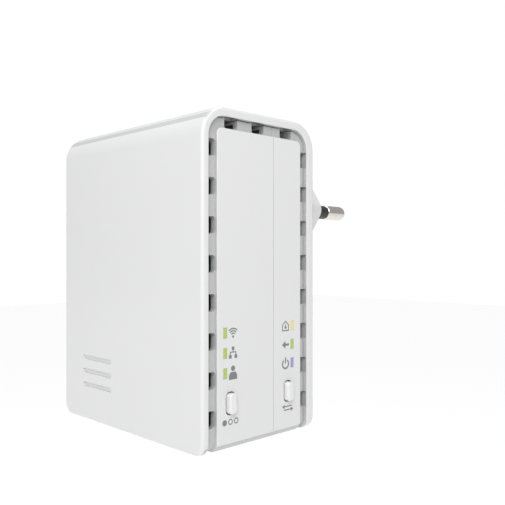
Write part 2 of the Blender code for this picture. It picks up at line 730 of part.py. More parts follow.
def make_housings(material, nose_opening):
    """The front and rear halves of the inner case, which meet at the seam across the panel."""
    panel = make_panel_tool()
    cavity = make_cavity_tool()
    slots = make_slot_tool()
    boss_radius = SCREW_HOLE + BOSS_WALL
    head_face = HOUSING_REAR - SLEEVE_GAP - SCREW_HEAD_HEIGHT - SCREW_CLEARANCE
    screw_end = SEAM_Y - SCREW_BITE
    boss_root = CAVITY_FRONT - WALL / 2
    front_bosses = make_screw_row_tool("front_boss_tool", boss_radius, boss_root, SEAM_Y + WALL)
    rear_bosses = make_screw_row_tool(
        "rear_boss_tool", SCREW_RECESS + BOSS_WALL / 2, SEAM_Y - WALL, CAVITY_REAR + WALL / 2
    )
    screw_holes = make_screw_row_tool(
        "screw_hole_tool", SCREW_HOLE, screw_end - SCREW_CLEARANCE, HOUSING_REAR + CUT_MARGIN
    )
    screw_recesses = make_screw_row_tool(
        "screw_recess_tool", SCREW_RECESS, head_face, HOUSING_REAR + CUT_MARGIN
    )
    front = add_piece("front_housing", body_shape(), material)
    combine(front, "UNION", panel)
    combine(front, "DIFFERENCE", cavity)
    combine(front, "UNION", front_bosses)
    for tool in (
        slots,
        screw_holes,
        make_window_tool("front_window_tool", indicator_y("front")),
        make_button_hole_tool("mode_hole_tool", button_y("front")),
        make_jack_hole_tool(),
        make_seam_tool("front_seam_tool", SEAM_Y - SEAM_GAP / 2, 2 * CASE_DEPTH),
    ):
        combine(front, "DIFFERENCE", tool)
    combine(front, "UNION", make_seam_lip_tool())
    rear = add_piece("rear_housing", body_shape(), material)
    combine(rear, "UNION", panel)
    combine(rear, "DIFFERENCE", cavity)
    combine(rear, "UNION", rear_bosses)
    combine(rear, "DIFFERENCE", make_seam_rebate_tool())
    for tool in (
        slots,
        screw_holes,
        screw_recesses,
        nose_opening,
        make_window_tool("rear_window_tool", indicator_y("rear")),
        make_button_hole_tool("sync_hole_tool", button_y("rear")),
        make_seam_tool("rear_seam_tool", -CASE_DEPTH, SEAM_Y + SEAM_GAP / 2),
    ):
        combine(rear, "DIFFERENCE", tool)


def make_screws(material):
    """Four pan-head screws, driven from the rear housing into the front one."""
    head_back = HOUSING_REAR - SLEEVE_GAP
    head_front = head_back - SCREW_HEAD_HEIGHT
    tip = SEAM_Y - SCREW_BITE
    names = ("lower_left", "lower_right", "upper_left", "upper_right")
    for name, (place_x, place_z) in zip(names, screw_places()):
        bm = bmesh.new()
        profile = [
            (tip, SCREW_SHANK * 0.4),
            (tip + SCREW_SHANK, SCREW_SHANK),
            (head_front, SCREW_SHANK),
            (head_front, SCREW_HEAD),
            (head_back - SCREW_HEAD_HEIGHT * 0.35, SCREW_HEAD),
            (head_back, SCREW_HEAD * 0.72),
        ]
        turned(bm, profile, "Y", steps=16)
        add_piece(f"housing_screw_{name}", bm, material, (place_x, 0.0, place_z))


# ---------------------------------------------------------------- plug


def pin_places():
    """Name, side and X of each pin at the nose's end face."""
    return (("neutral", -1, -PIN_SPACING / 2), ("live", 1, PIN_SPACING / 2))


def set_on_pin_axis(item, side):
    """Turns an object about the nose's end face, so that the pins lean towards each other."""
    item.rotation_euler = (0.0, 0.0, side * PIN_TILT)
    return item


def make_plug_nose(material):
    """The white carrier of the pins: neck, flange and the long nose that enters the socket."""
    bm = bmesh.new()
    small = lozenge(NOSE_WIDTH / 2, NOSE_HEIGHT / 2)
    wide = lozenge(NOSE_WIDTH / 2 + NOSE_FLANGE, NOSE_HEIGHT / 2 + NOSE_FLANGE)
    draft = lozenge(NOSE_WIDTH / 2 - NOSE_DRAFT, NOSE_HEIGHT / 2 - NOSE_DRAFT)
    sections = [
        (small, NECK_END),
        (small, FLANGE_FACE),
        (wide, FLANGE_FACE),
        (wide, FLANGE_BACK),
        (small, FLANGE_BACK),
        (draft, NOSE_END),
    ]
    loft(bm, sections, "Y")
    nose_edge = NOSE_END - PIECE_GAP
    round_edges(bm, NOSE_EDGE_RADIUS, 2, lambda edge: edge_middle(edge).y > nose_edge)
    nose = add_piece("plug_nose", bm, material, (0.0, 0.0, PLUG_Z))
    for name, side, place_x in pin_places():
        bore = bmesh.new()
        profile = [
            (NECK_END - NOSE_END - CUT_MARGIN, PIN_RADIUS + PIECE_GAP),
            (CUT_MARGIN, PIN_RADIUS + PIECE_GAP),
        ]
        turned(bore, profile, "Y")
        tool = add_tool(f"pin_bore_{name}_tool", bore, (place_x, NOSE_END, PLUG_Z))
        combine(nose, "DIFFERENCE", set_on_pin_axis(tool, side))


def make_pins(metal, insulation):
    """Two round pins with round tips, each with an insulating sleeve next to the nose."""
    for name, side, place_x in pin_places():
        location = (place_x, NOSE_END, PLUG_Z)
        bm = bmesh.new()
        root = NECK_END - NOSE_END - PIECE_GAP * 3
        collar = -PIN_SLEEVE_ROOT - PIECE_GAP
        shoulder = PIN_SLEEVE_LENGTH + PIECE_GAP
        tip = PIN_LENGTH - PIN_RADIUS
        profile = [
            (root, PIN_CORE_RADIUS),
            (root + 2 * PIN_RADIUS, PIN_CORE_RADIUS),
            (root + 2 * PIN_RADIUS, PIN_RADIUS),
            (collar, PIN_RADIUS),
            (collar, PIN_CORE_RADIUS),
            (shoulder, PIN_CORE_RADIUS),
            (shoulder, PIN_RADIUS),
        ]
        for step in range(4):
            angle = math.radians(90 * step / 4)
            profile.append((tip + PIN_RADIUS * math.sin(angle), PIN_RADIUS * math.cos(angle)))
        profile.append((PIN_LENGTH, PIN_RADIUS * 0.12))
        turned(bm, profile, "Y")
        set_on_pin_axis(add_piece(f"plug_pin_{name}", bm, metal, location), side)
        sleeve = bmesh.new()
        outer = circle((0.0, 0.0), PIN_RADIUS * 0.95)
        inner = circle((0.0, 0.0), PIN_CORE_RADIUS + PIN_SLEEVE_GAP)
        tube(sleeve, outer, inner, "Y", -PIN_SLEEVE_ROOT, PIN_SLEEVE_LENGTH)
        set_on_pin_axis(add_piece(f"pin_insulation_{name}", sleeve, insulation, location), side)


def make_pin_contacts(material):
    """Flat strips that carry the mains from the pins' roots down to the rear board."""
    root_depth = NOSE_END - NECK_END + PIECE_GAP * 3
    strip_x = PIN_SPACING / 2 + math.sin(PIN_TILT) * root_depth
    back = NECK_END - PIECE_GAP * 4
    face = back - CONTACT_THICKNESS
    foot_back = REAR_BOARD_FACE - PIECE_GAP
    foot_top = REAR_BOARD_TOP + CONTACT_OVERLAP / 4
    low = REAR_BOARD_TOP - CONTACT_OVERLAP
    high = PLUG_Z + CONTACT_WIDTH * 0.6
    for name, side, _ in pin_places():
        bm = bmesh.new()
        outline = [
            (foot_back, low),
            (foot_back, foot_top),
            (back, foot_top + CONTACT_THICKNESS * 2),
            (back, high),
            (face, high),
            (face, foot_top + CONTACT_THICKNESS),
            (foot_back - CONTACT_THICKNESS, foot_top - CONTACT_THICKNESS),
            (foot_back - CONTACT_THICKNESS, low),
        ]
        middle = side * strip_x
        prism(bm, outline, "X", middle - CONTACT_WIDTH / 2, middle + CONTACT_WIDTH / 2)
        add_piece(f"pin_contact_{name}", bm, material)


# ---------------------------------------------------------------- indicators and buttons


def indicator_y(side):
    """Distance from the front of a column of indicators, just off its board."""
    if side == "front":
        return FRONT_BOARD_FACE + LED_STANDOFF
    return REAR_BOARD_FACE - LED_STANDOFF


def button_y(side):
    """Distance from the front of a button, at its switch's middle."""
    if side == "front":
        return FRONT_BOARD_FACE + BUTTON_BOARD_OFFSET
    return REAR_BOARD_FACE - BUTTON_BOARD_OFFSET


def indicator_heights():
    """Heights of one column's indicators."""
    return [INDICATOR_FIRST_HEIGHT + index * INDICATOR_PITCH for index in range(INDICATOR_COUNT)]


def make_light_guides(material):
    """One clear moulding for each column, with a prong for each window in the panel."""
    reach = INDICATOR_HEIGHT / 2 - WINDOW_CLEARANCE
    half_width = INDICATOR_WIDTH / 2 - WINDOW_CLEARANCE
    bar_back = CAVITY_X - PIECE_GAP
    bar_front = bar_back - GUIDE_BAR
    spans = [(height - reach, height + reach) for height in indicator_heights()]
    low = (bar_front, spans[0][0] - WALL / 4)
    high = (bar_back, spans[-1][1] + WALL / 4)
    for side in ("front", "rear"):
        bm = bmesh.new()
        outline = comb(low, high, spans, PANEL_X - WINDOW_CLEARANCE / 3)
        middle = indicator_y(side)
        prism(bm, outline, "Y", middle - half_width, middle + half_width)
        add_piece(f"light_guide_{side}", bm, material)


def make_leds(material):
    """Side-firing lamps on the boards' edges, one behind each window."""
    names = {"front": ("clients", "network", "wireless"), "rear": ("power", "data", "home")}
    lens = CAVITY_X - 2 * PIECE_GAP - GUIDE_BAR
    half_width = LED_STANDOFF - PIECE_GAP
    for side, lamp_names in names.items():
        middle = indicator_y(side)
        for name, height in zip(lamp_names, indicator_heights()):
            bm = bmesh.new()
            outline = [
                (lens - LED_DEPTH, -INDICATOR_HEIGHT / 2),
                (lens - LED_DEPTH / 3, -INDICATOR_HEIGHT / 2),
                (lens, -INDICATOR_HEIGHT / 3),
                (lens, INDICATOR_HEIGHT / 3),
                (lens - LED_DEPTH / 3, INDICATOR_HEIGHT / 2),
                (lens - LED_DEPTH, INDICATOR_HEIGHT / 2),
            ]
            prism(bm, outline, "Y", middle - half_width, middle + half_width)
            add_piece(f"led_{name}", bm, material, (0.0, 0.0, height))


def centred_outline(width, height, radius):
    """A rounded rectangle about the origin."""
    return rounded_rectangle((-width / 2, -height / 2), (width / 2, height / 2), radius)


def make_button(name, side, material):
    """A push button: a round-cornered cap, a lip that keeps it in, and a post to its switch."""
    cap_end = PANEL_X + BUTTON_PROUD
    lip_back = CAVITY_X - BUTTON_GAP
    lip_front = lip_back - FLANGE_THICKNESS
    post_end = lip_front - FLANGE_THICKNESS
    cap = centred_outline(BUTTON_WIDTH, BUTTON_HEIGHT, BUTTON_CORNER)
    lip = centred_outline(BUTTON_WIDTH + 2 * FLANGE_LIP, BUTTON_HEIGHT + 2 * FLANGE_LIP, BUTTON_CORNER)
    post = centred_outline(PLUNGER_WIDTH, PLUNGER_HEIGHT, PLUNGER_CORNER)
    crown = BUTTON_CORNER / 2
    sections = [
        (post, post_end - cap_end),
        (post, lip_front - cap_end),
        (lip, lip_front - cap_end),
        (lip, lip_back - cap_end),
        (cap, lip_back - cap_end),
        (cap, -crown),
    ]
    for step in range(1, 4):
        angle = math.radians(90 * step / 3)
        inset = crown * (1 - math.cos(angle))
        top = centred_outline(BUTTON_WIDTH - 2 * inset, BUTTON_HEIGHT - 2 * inset, BUTTON_CORNER - inset)
        sections.append((top, -crown * (1 - math.sin(angle))))
    bm = bmesh.new()
    loft(bm, sections, "X")
    add_piece(name, bm, material, (cap_end, button_y(side), BUTTON_HEIGHT_ABOVE_BASE))
    return post_end


def make_switch(name, side, post_end, body_material, plunger_material):
    """A side-pressed switch on the board's edge: its body and the plunger that the button moves."""
    plunger_end = post_end - PIECE_GAP
    body_face = plunger_end - BUTTON_TRAVEL - PIECE_GAP
    place = (body_face, button_y(side), BUTTON_HEIGHT_ABOVE_BASE)
    plunger_root = -SWITCH_DEPTH / 2
    bm = bmesh.new()
    inner_reach = BUTTON_BOARD_OFFSET - PIECE_GAP
    toward_board = -1 if side == "front" else 1
    near = toward_board * inner_reach
    far = -toward_board * (SWITCH_WIDTH - inner_reach)
    low = (-SWITCH_DEPTH, min(near, far), -SWITCH_HEIGHT / 2)
    high = (0.0, max(near, far), SWITCH_HEIGHT / 2)
    block(bm, low, high)
    round_edges(bm, SLEEVE_INNER_FILLET, 1)
    body = add_piece(f"{name}_switch_body", bm, body_material, place)
    well = bmesh.new()
    gap = PLUNGER_CLEARANCE
    outline = centred_outline(PLUNGER_WIDTH + 2 * gap, PLUNGER_HEIGHT + 2 * gap, PLUNGER_CORNER + gap)
    prism(well, outline, "X", plunger_root - BUTTON_TRAVEL - PIECE_GAP, CUT_MARGIN)
    combine(body, "DIFFERENCE", add_tool(f"{name}_well_tool", well, place))
    stem = bmesh.new()
    outline = centred_outline(PLUNGER_WIDTH, PLUNGER_HEIGHT, PLUNGER_CORNER)
    prism(stem, outline, "X", plunger_root, plunger_end - body_face)
    add_piece(f"{name}_switch_plunger", stem, plunger_material, place)


# ---------------------------------------------------------------- boards and jack


def make_boards(material):
    """The wireless board behind the front face and the power board before the plug."""
    notch = make_screw_row_tool(
        "board_notch_tool",
        SCREW_RECESS + BOSS_WALL / 2 + PIECE_GAP,
        FRONT_BOARD_BACK - CUT_MARGIN,
        REAR_BOARD_BACK + CUT_MARGIN,
    )
    spans = {
        "wireless_board": (FRONT_BOARD_BACK, FRONT_BOARD_FACE, FRONT_BOARD_TOP),
        "power_board": (REAR_BOARD_FACE, REAR_BOARD_BACK, REAR_BOARD_TOP),
    }
    for name, (start, end, top) in spans.items():
        bm = bmesh.new()
        outline = rectangle((-BOARD_X, BOARD_FLOOR), (BOARD_X, top))
        prism(bm, outline, "Y", start, end)
        combine(add_piece(name, bm, material), "DIFFERENCE", notch)


def jack_port_outline():
    """The jack's mouth: a wide port with a stepped channel for the plug's latch."""
    roof = JACK_REAR - JACK_ROOF
    floor = roof - JACK_PORT_THICKNESS
    half = JACK_PORT_WIDTH / 2
    right = [(half, roof), (half, floor)]
    level = floor
    for width, depth in JACK_LATCH_STEPS:
        right += [(width / 2, level), (width / 2, level - depth)]
        level -= depth
    left = [(-x, y) for x, y in reversed(right)]
    return right + left


def make_jack(shell_material, contact_material):
    """The network jack, open downwards, and its comb of spring contacts."""
    bm = bmesh.new()
    low = (-JACK_WIDTH / 2, JACK_FRONT, JACK_SETBACK)
    high = (JACK_WIDTH / 2, JACK_REAR, JACK_SETBACK + JACK_LENGTH)
    block(bm, low, high)
    round_edges(bm, SLEEVE_INNER_FILLET, 1, lambda edge: edge_is_along(edge, "Z"))
    jack = add_piece("network_jack", bm, shell_material)
    port = bmesh.new()
    port_end = JACK_SETBACK + JACK_PORT_DEPTH
    prism(port, jack_port_outline(), "Z", -CUT_MARGIN, port_end)
    combine(jack, "DIFFERENCE", add_tool("jack_port_tool", port))
    make_jack_contacts(contact_material, port_end)


def make_jack_contacts(material, port_end):
    """Eight sloping springs on one carrier at the port's inner end."""
    roof = JACK_REAR - JACK_ROOF - PIECE_GAP
    carrier_end = port_end - PIECE_GAP
    carrier_start = carrier_end - WALL / 2
    reach = JACK_PIN_PITCH * JACK_PINS / 2
    bm = bmesh.new()
    block(bm, (-reach, roof - JACK_CARRIER_DEPTH, carrier_start), (reach, roof, carrier_end))
    contacts = add_piece("jack_contacts", bm, material)
    springs = bmesh.new()
    tip_z = JACK_SETBACK + JACK_SPRING_TIP_HEIGHT
    outline = [
        (roof - JACK_SPRING_ROOT[0], carrier_end - WALL / 4),
        (roof - JACK_SPRING_ROOT[1], carrier_end - WALL / 4),
        (roof - JACK_SPRING_TIP_THICKNESS, tip_z),
        (roof, tip_z),
    ]
    for index in range(JACK_PINS):
        middle = (index - (JACK_PINS - 1) / 2) * JACK_PIN_PITCH
        half = JACK_PIN_THICKNESS / 2
        prism(springs, outline, "X", middle - half, middle + half)
    combine(contacts, "UNION", add_tool("jack_spring_tool", springs))


# ---------------------------------------------------------------- what stands on the boards


def board_span(board, height, start=0.0):
    """Y range of a part of a given height, standing on a board."""
    if board == "wireless":
        base = FRONT_BOARD_FACE + PIECE_GAP + start
        return base, base + height
    base = REAR_BOARD_FACE - PIECE_GAP - start
    return base - height, base


def make_box_part(name, board, middle, size, material, fillet=PART_FILLET):
    """A moulded part: a block on a board with its edges eased."""
    bm = bmesh.new()
    width, height, depth = size
    start, end = board_span(board, depth)
    low = (middle[0] - width / 2, start, middle[1] - height / 2)
    high = (middle[0] + width / 2, end, middle[1] + height / 2)
    block(bm, low, high)
    round_edges(bm, fillet, 2)
    add_piece(name, bm, material)


def make_can_part(name, middle, size, material):
    """A round can that stands on the power board, crimped near its foot."""
    radius, length = size
    bm = bmesh.new()
    start, end = board_span("power", length)
    groove = radius * 0.12
    profile = [
        (start, radius - groove),
        (start + groove, radius),
        (end - 5 * groove, radius),
        (end - 4 * groove, radius - groove),
        (end - 3 * groove, radius),
        (end - groove, radius),
        (end, radius - groove),
    ]
    turned(bm, profile, "Y", middle)
    add_piece(name, bm, material)


def make_varistor(middle, material):
    """A dipped disc that stands on its edge on the power board."""
    radius, thickness = VARISTOR
    bm = bmesh.new()
    _, board_end = board_span("power", 0.0)
    centre = (board_end - radius - PIECE_GAP, middle[1])
    start = middle[0] - thickness / 2
    end = middle[0] + thickness / 2
    ease = thickness / 4
    profile = [(start, radius - ease), (start + ease, radius), (end - ease, radius), (end, radius - ease)]
    turned(bm, profile, "X", centre, steps=20)
    add_piece("varistor", bm, material)


def make_transformer(middle, core_material, winding_material):
    """The supply's transformer: a ferrite frame round a taped winding."""
    width, height, depth = TRANSFORMER_CORE
    start, end = board_span("power", depth)
    low = (middle[0] - width / 2, start)
    high = (middle[0] + width / 2, end)
    window_low = (low[0] + TRANSFORMER_LEG, low[1] + TRANSFORMER_LEG)
    window_high = (high[0] - TRANSFORMER_LEG, high[1] - TRANSFORMER_LEG)
    core = bmesh.new()
    outer = rectangle(low, high)
    inner = rectangle(window_low, window_high)
    tube(core, outer, inner, "Z", middle[1] - height / 2, middle[1] + height / 2)
    add_piece("transformer_core", core, core_material)
    winding = bmesh.new()
    inner_low = (window_low[0] + PIECE_GAP, window_low[1] + PIECE_GAP)
    inner_high = (window_high[0] - PIECE_GAP, window_high[1] - PIECE_GAP)
    outline = rounded_rectangle(inner_low, inner_high, TRANSFORMER_LEG * 0.6)
    reach = TRANSFORMER_WINDING_LENGTH / 2
    prism(winding, outline, "Z", middle[1] - reach, middle[1] + reach)
    add_piece("transformer_winding", winding, winding_material)


def make_heat_sink(middle, material):
    """A finned block over the wireless board's main chip."""
    width, length, height = HEAT_SINK
    start, end = board_span("wireless", height, MAIN_CHIP[2] + PIECE_GAP)
    pitch = (width - HEAT_SINK_FIN) / (HEAT_SINK_FINS - 1)
    left = middle[0] - width / 2
    shoulder = HEAT_SINK_FIN / 20
    teeth = [(left + index * pitch, left + index * pitch + HEAT_SINK_FIN) for index in range(HEAT_SINK_FINS)]
    teeth[0] = (left + shoulder, teeth[0][1])
    teeth[-1] = (teeth[-1][0], left + width - shoulder)
    outline = comb((start, left), (start + HEAT_SINK_BASE, left + width), teeth, end)
    bm = bmesh.new()
    prism(bm, [(x, y) for y, x in outline], "Z", middle[1] - length / 2, middle[1] + length / 2)
    add_piece("heat_sink", bm, material)


def make_antenna(name, side, material):
    """A stamped antenna: a foot on the wireless board and a folded radiating arm."""
    sheet = ANTENNA_SHEET
    inner_x = side * (SCREW_X - SCREW_RECESS - BOSS_WALL - ANTENNA_SIDE_GAP)
    outer_x = inner_x - side * ANTENNA_ARM
    middle_z = FRONT_BOARD_TOP - ANTENNA_DROP
    start, end = board_span("wireless", ANTENNA_HEIGHT)
    foot = inner_x - side * ANTENNA_WIDTH
    outline = [
        (inner_x, start),
        (inner_x, end),
        (outer_x, end),
        (outer_x, end - 2 * sheet),
        (outer_x + side * sheet, end - 2 * sheet),
        (outer_x + side * sheet, end - sheet),
        (inner_x - side * sheet, end - sheet),
        (inner_x - side * sheet, start + sheet),
        (foot, start + sheet),
        (foot, start),
    ]
    bm = bmesh.new()
    prism(bm, outline, "Z", middle_z - ANTENNA_WIDTH / 2, middle_z + ANTENNA_WIDTH / 2)
    add_piece(name, bm, material)


def make_wireless_parts(materials):
    """Chips, shield and magnetics on the wireless board, set out from its top and from the jack."""
    chip_z = FRONT_BOARD_TOP - CHIP_DROP
    jack_top = JACK_SETBACK + JACK_LENGTH
    black = materials["black_plastic"]
    make_box_part("main_chip", "wireless", (0.0, chip_z), MAIN_CHIP, black)
    make_heat_sink((0.0, chip_z), materials["aluminium"])
    make_box_part("memory_chip", "wireless", (CHIP_COLUMN, chip_z), MEMORY_CHIP, black)
    make_box_part("flash_chip", "wireless", (CHIP_COLUMN, chip_z - FLASH_DROP), FLASH_CHIP, black)
    shield_place = (SHIELD_COLUMN, chip_z + SHIELD_RISE)
    make_box_part("radio_shield", "wireless", shield_place, RADIO_SHIELD, materials["steel"])
    crystal_place = (SHIELD_COLUMN, chip_z - CRYSTAL_DROP)
    make_box_part("clock_crystal", "wireless", crystal_place, CLOCK_CRYSTAL, materials["nickel"])
    make_box_part("line_magnetics", "wireless", (0.0, jack_top + MAGNETICS_RISE), LINE_MAGNETICS, black)
    inductor_place = (INDUCTOR_PLACE[0], jack_top + INDUCTOR_PLACE[1])
    make_box_part("power_inductor", "wireless", inductor_place, POWER_INDUCTOR, materials["ferrite"])
    make_antenna("antenna_left", -1, materials["nickel"])
    make_antenna("antenna_right", 1, materials["nickel"])


def below_top(place):
    """A place given from the power board's top edge."""
    return (place[0], REAR_BOARD_TOP + place[1])


def above_floor(place):
    """A place given from the power board's lower edge."""
    return (place[0], BOARD_FLOOR + place[1])


def make_power_parts(materials):
    """The supply and the line coupler on the power board, set out from its edges."""
    black = materials["black_plastic"]
    can = materials["can_black"]
    yellow = materials["tape_yellow"]
    make_transformer(below_top(TRANSFORMER_PLACE), materials["ferrite"], yellow)
    can_x = BULK_CAN_INSET - BOARD_X
    make_can_part("bulk_capacitor_upper", below_top((can_x, -BULK_CAN_DROP)), BULK_CAN, can)
    lower_drop = BULK_CAN_DROP + BULK_CAN_PITCH
    make_can_part("bulk_capacitor_lower", below_top((can_x, -lower_drop)), BULK_CAN, can)
    make_box_part("mains_capacitor", "power", below_top(MAINS_CAPACITOR_PLACE), MAINS_CAPACITOR, yellow)
    make_varistor(below_top(VARISTOR_PLACE), materials["film_blue"])
    make_can_part("mains_fuse", below_top((BOARD_X - FUSE_INSET, -FUSE_DROP)), FUSE_CAN, black)
    make_box_part("bridge_rectifier", "power", below_top((0.0, -RECTIFIER_DROP)), BRIDGE_RECTIFIER, black)
    link_size = (*BOARD_LINK, REAR_BOARD_FACE - FRONT_BOARD_FACE - 2 * PIECE_GAP)
    make_box_part("board_link", "power", below_top((LINK_INSET - BOARD_X, -LINK_DROP)), link_size, black)
    grey = materials["film_grey"]
    make_box_part("mains_choke", "power", above_floor(CHOKE_PLACE), MAINS_CHOKE, grey, SOFT_PART_FILLET)
    make_can_part("output_capacitor", below_top(OUTPUT_CAN_PLACE), OUTPUT_CAN, can)
    make_box_part("line_coupler", "power", above_floor(COUPLER_PLACE), LINE_COUPLER, black)
    make_box_part("modem_chip", "power", above_floor((0.0, MODEM_RISE)), MODEM_CHIP, black)
    make_box_part("optocoupler", "power", above_floor((0.0, OPTOCOUPLER_RISE)), OPTOCOUPLER, black)


# ---------------------------------------------------------------- assembly


def clear_scene():
    """Removes whatever the scene holds."""
    for item in list(bpy.data.objects):
        bpy.data.objects.remove(item, do_unlink=True)


def add_case_frame():
    """The empty that puts the nose's end face at the world's origin."""
    frame = bpy.data.objects.new("case_frame", None)
    frame.location = (0.0, -NOSE_END, -PLUG_Z)
    bpy.context.scene.collection.objects.link(frame)


def main():
    """Builds every piece."""
    clear_scene()
    add_case_frame()
    materials = make_materials()
    nose_opening, nose_seat = make_nose_tools()
    make_sleeve(materials["white_gloss"], nose_opening, nose_seat)
    make_housings(materials["white_satin"], nose_opening)
    make_screws(materials["steel"])
    make_plug_nose(materials["plug_white"])
    make_pins(materials["nickel"], materials["black_plastic"])
    make_pin_contacts(materials["brass"])
    make_light_guides(materials["light_guide"])
    make_leds(materials["led_body"])
    for name, side in (("mode", "front"), ("sync", "rear")):
        post_end = make_button(f"{name}_button", side, materials["button_white"])
        make_switch(name, side, post_end, materials["black_plastic"], materials["film_grey"])
    make_boards(materials["board_green"])
    make_jack(materials["black_plastic"], materials["gold"])
    make_wireless_parts(materials)
    make_power_parts(materials)


main()
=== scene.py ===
"""Studio view of a plug-in powerline adapter, modelled round its packed assembly.

Each sub-assembly is a class that holds its sizes, builds its pieces and dresses them. Lengths are in
metres, X points out of the indicator panel, Y into the wall and Z up.
"""

import logging
import math
from dataclasses import dataclass
from enum import Enum
from typing import Callable, Iterable, Sequence

import bmesh
import bpy
from mathutils import Matrix, Vector


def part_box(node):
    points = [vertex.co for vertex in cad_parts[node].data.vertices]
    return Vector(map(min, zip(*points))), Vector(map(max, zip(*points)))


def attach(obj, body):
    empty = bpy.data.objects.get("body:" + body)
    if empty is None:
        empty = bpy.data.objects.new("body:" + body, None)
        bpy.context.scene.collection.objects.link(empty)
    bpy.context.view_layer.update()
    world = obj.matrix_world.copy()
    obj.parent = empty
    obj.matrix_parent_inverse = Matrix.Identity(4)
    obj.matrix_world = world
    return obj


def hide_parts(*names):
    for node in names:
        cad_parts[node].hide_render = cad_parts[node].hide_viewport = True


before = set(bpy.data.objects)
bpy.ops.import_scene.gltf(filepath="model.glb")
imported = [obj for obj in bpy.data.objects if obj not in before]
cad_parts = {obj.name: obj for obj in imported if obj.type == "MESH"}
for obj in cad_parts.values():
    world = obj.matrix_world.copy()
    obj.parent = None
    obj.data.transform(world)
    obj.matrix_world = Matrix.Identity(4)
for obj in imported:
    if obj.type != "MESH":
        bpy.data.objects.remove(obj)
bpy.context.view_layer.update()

LOG = logging.getLogger("adapter_scene")

Colour = tuple[float, float, float]
EdgeTest = Callable[[bmesh.types.BMEdge], bool]


class Axis(Enum):
    """The three directions of the adapter."""

    X = 0
    Y = 1
    Z = 2


class Side(Enum):
    """The two halves of the inner case, either side of the seam."""

    FRONT = "front"
    REAR = "rear"


class Lamp(Enum):
    """The glow colours of the indicator windows."""

    GREEN = (0.350, 0.460, 0.110)
    AMBER = (0.680, 0.580, 0.240)
    VIOLET = (0.280, 0.270, 0.500)


LAMPS = {Side.FRONT: ("clients", "network", "wireless"), Side.REAR: ("power", "data", "home")}
GLOWS = {Side.FRONT: (Lamp.GREEN, Lamp.GREEN, Lamp.GREEN), Side.REAR: (Lamp.VIOLET, Lamp.GREEN, Lamp.AMBER)}
BUTTONS = {Side.FRONT: "mode", Side.REAR: "sync"}
SCREWS = ("lower_left", "lower_right", "upper_left", "upper_right")
LAMP_PITCH = 0.0043
SCREW_SHANK = 0.0011
SCREW_HEAD_HEIGHT = 0.0014
PACKED_GAP = 0.0003
INK_THICKNESS = 0.00002
INK_SINK = 0.00003
SHARP_ANGLE = 35.0
BEVEL_ANGLE = 30.0
PARALLEL = 0.999
WELD_DISTANCE = 1e-7
SLACK = 1e-5
END_BAND = 1e-4
SHADING_WEIGHT = 60
COAT_ROUGHNESS = 0.12


# ---------------------------------------------------------------- where the case lies


@dataclass(frozen=True)
class Layout:
    """The main faces of the adapter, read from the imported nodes.

    Args:
        low: Lowest corner of the sleeve.
        high: Highest corner of the sleeve.
        panel_x: The panel's outer face.
        housing_front: The inner case's face behind the sleeve's front wall.
        housing_rear: The inner case's face before the sleeve's rear wall.
        seam: The middle of the seam between the two halves.
    """

    low: Vector
    high: Vector
    panel_x: float
    housing_front: float
    housing_rear: float
    seam: float

    @classmethod
    def from_frame(cls) -> "Layout":
        """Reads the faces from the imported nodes.

        Returns:
            The layout of the adapter at rest.
        """
        low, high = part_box("outer_sleeve")
        front_low, front_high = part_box("front_housing")
        rear_low, rear_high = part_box("rear_housing")
        return cls(
            low=low,
            high=high,
            panel_x=front_high.x,
            housing_front=front_low.y,
            housing_rear=rear_high.y,
            seam=rear_low.y - PACKED_GAP / 2,
        )


def node_middle(name: str) -> Vector:
    """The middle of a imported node's box."""
    low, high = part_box(name)
    return (low + high) / 2


# ---------------------------------------------------------------- shaping


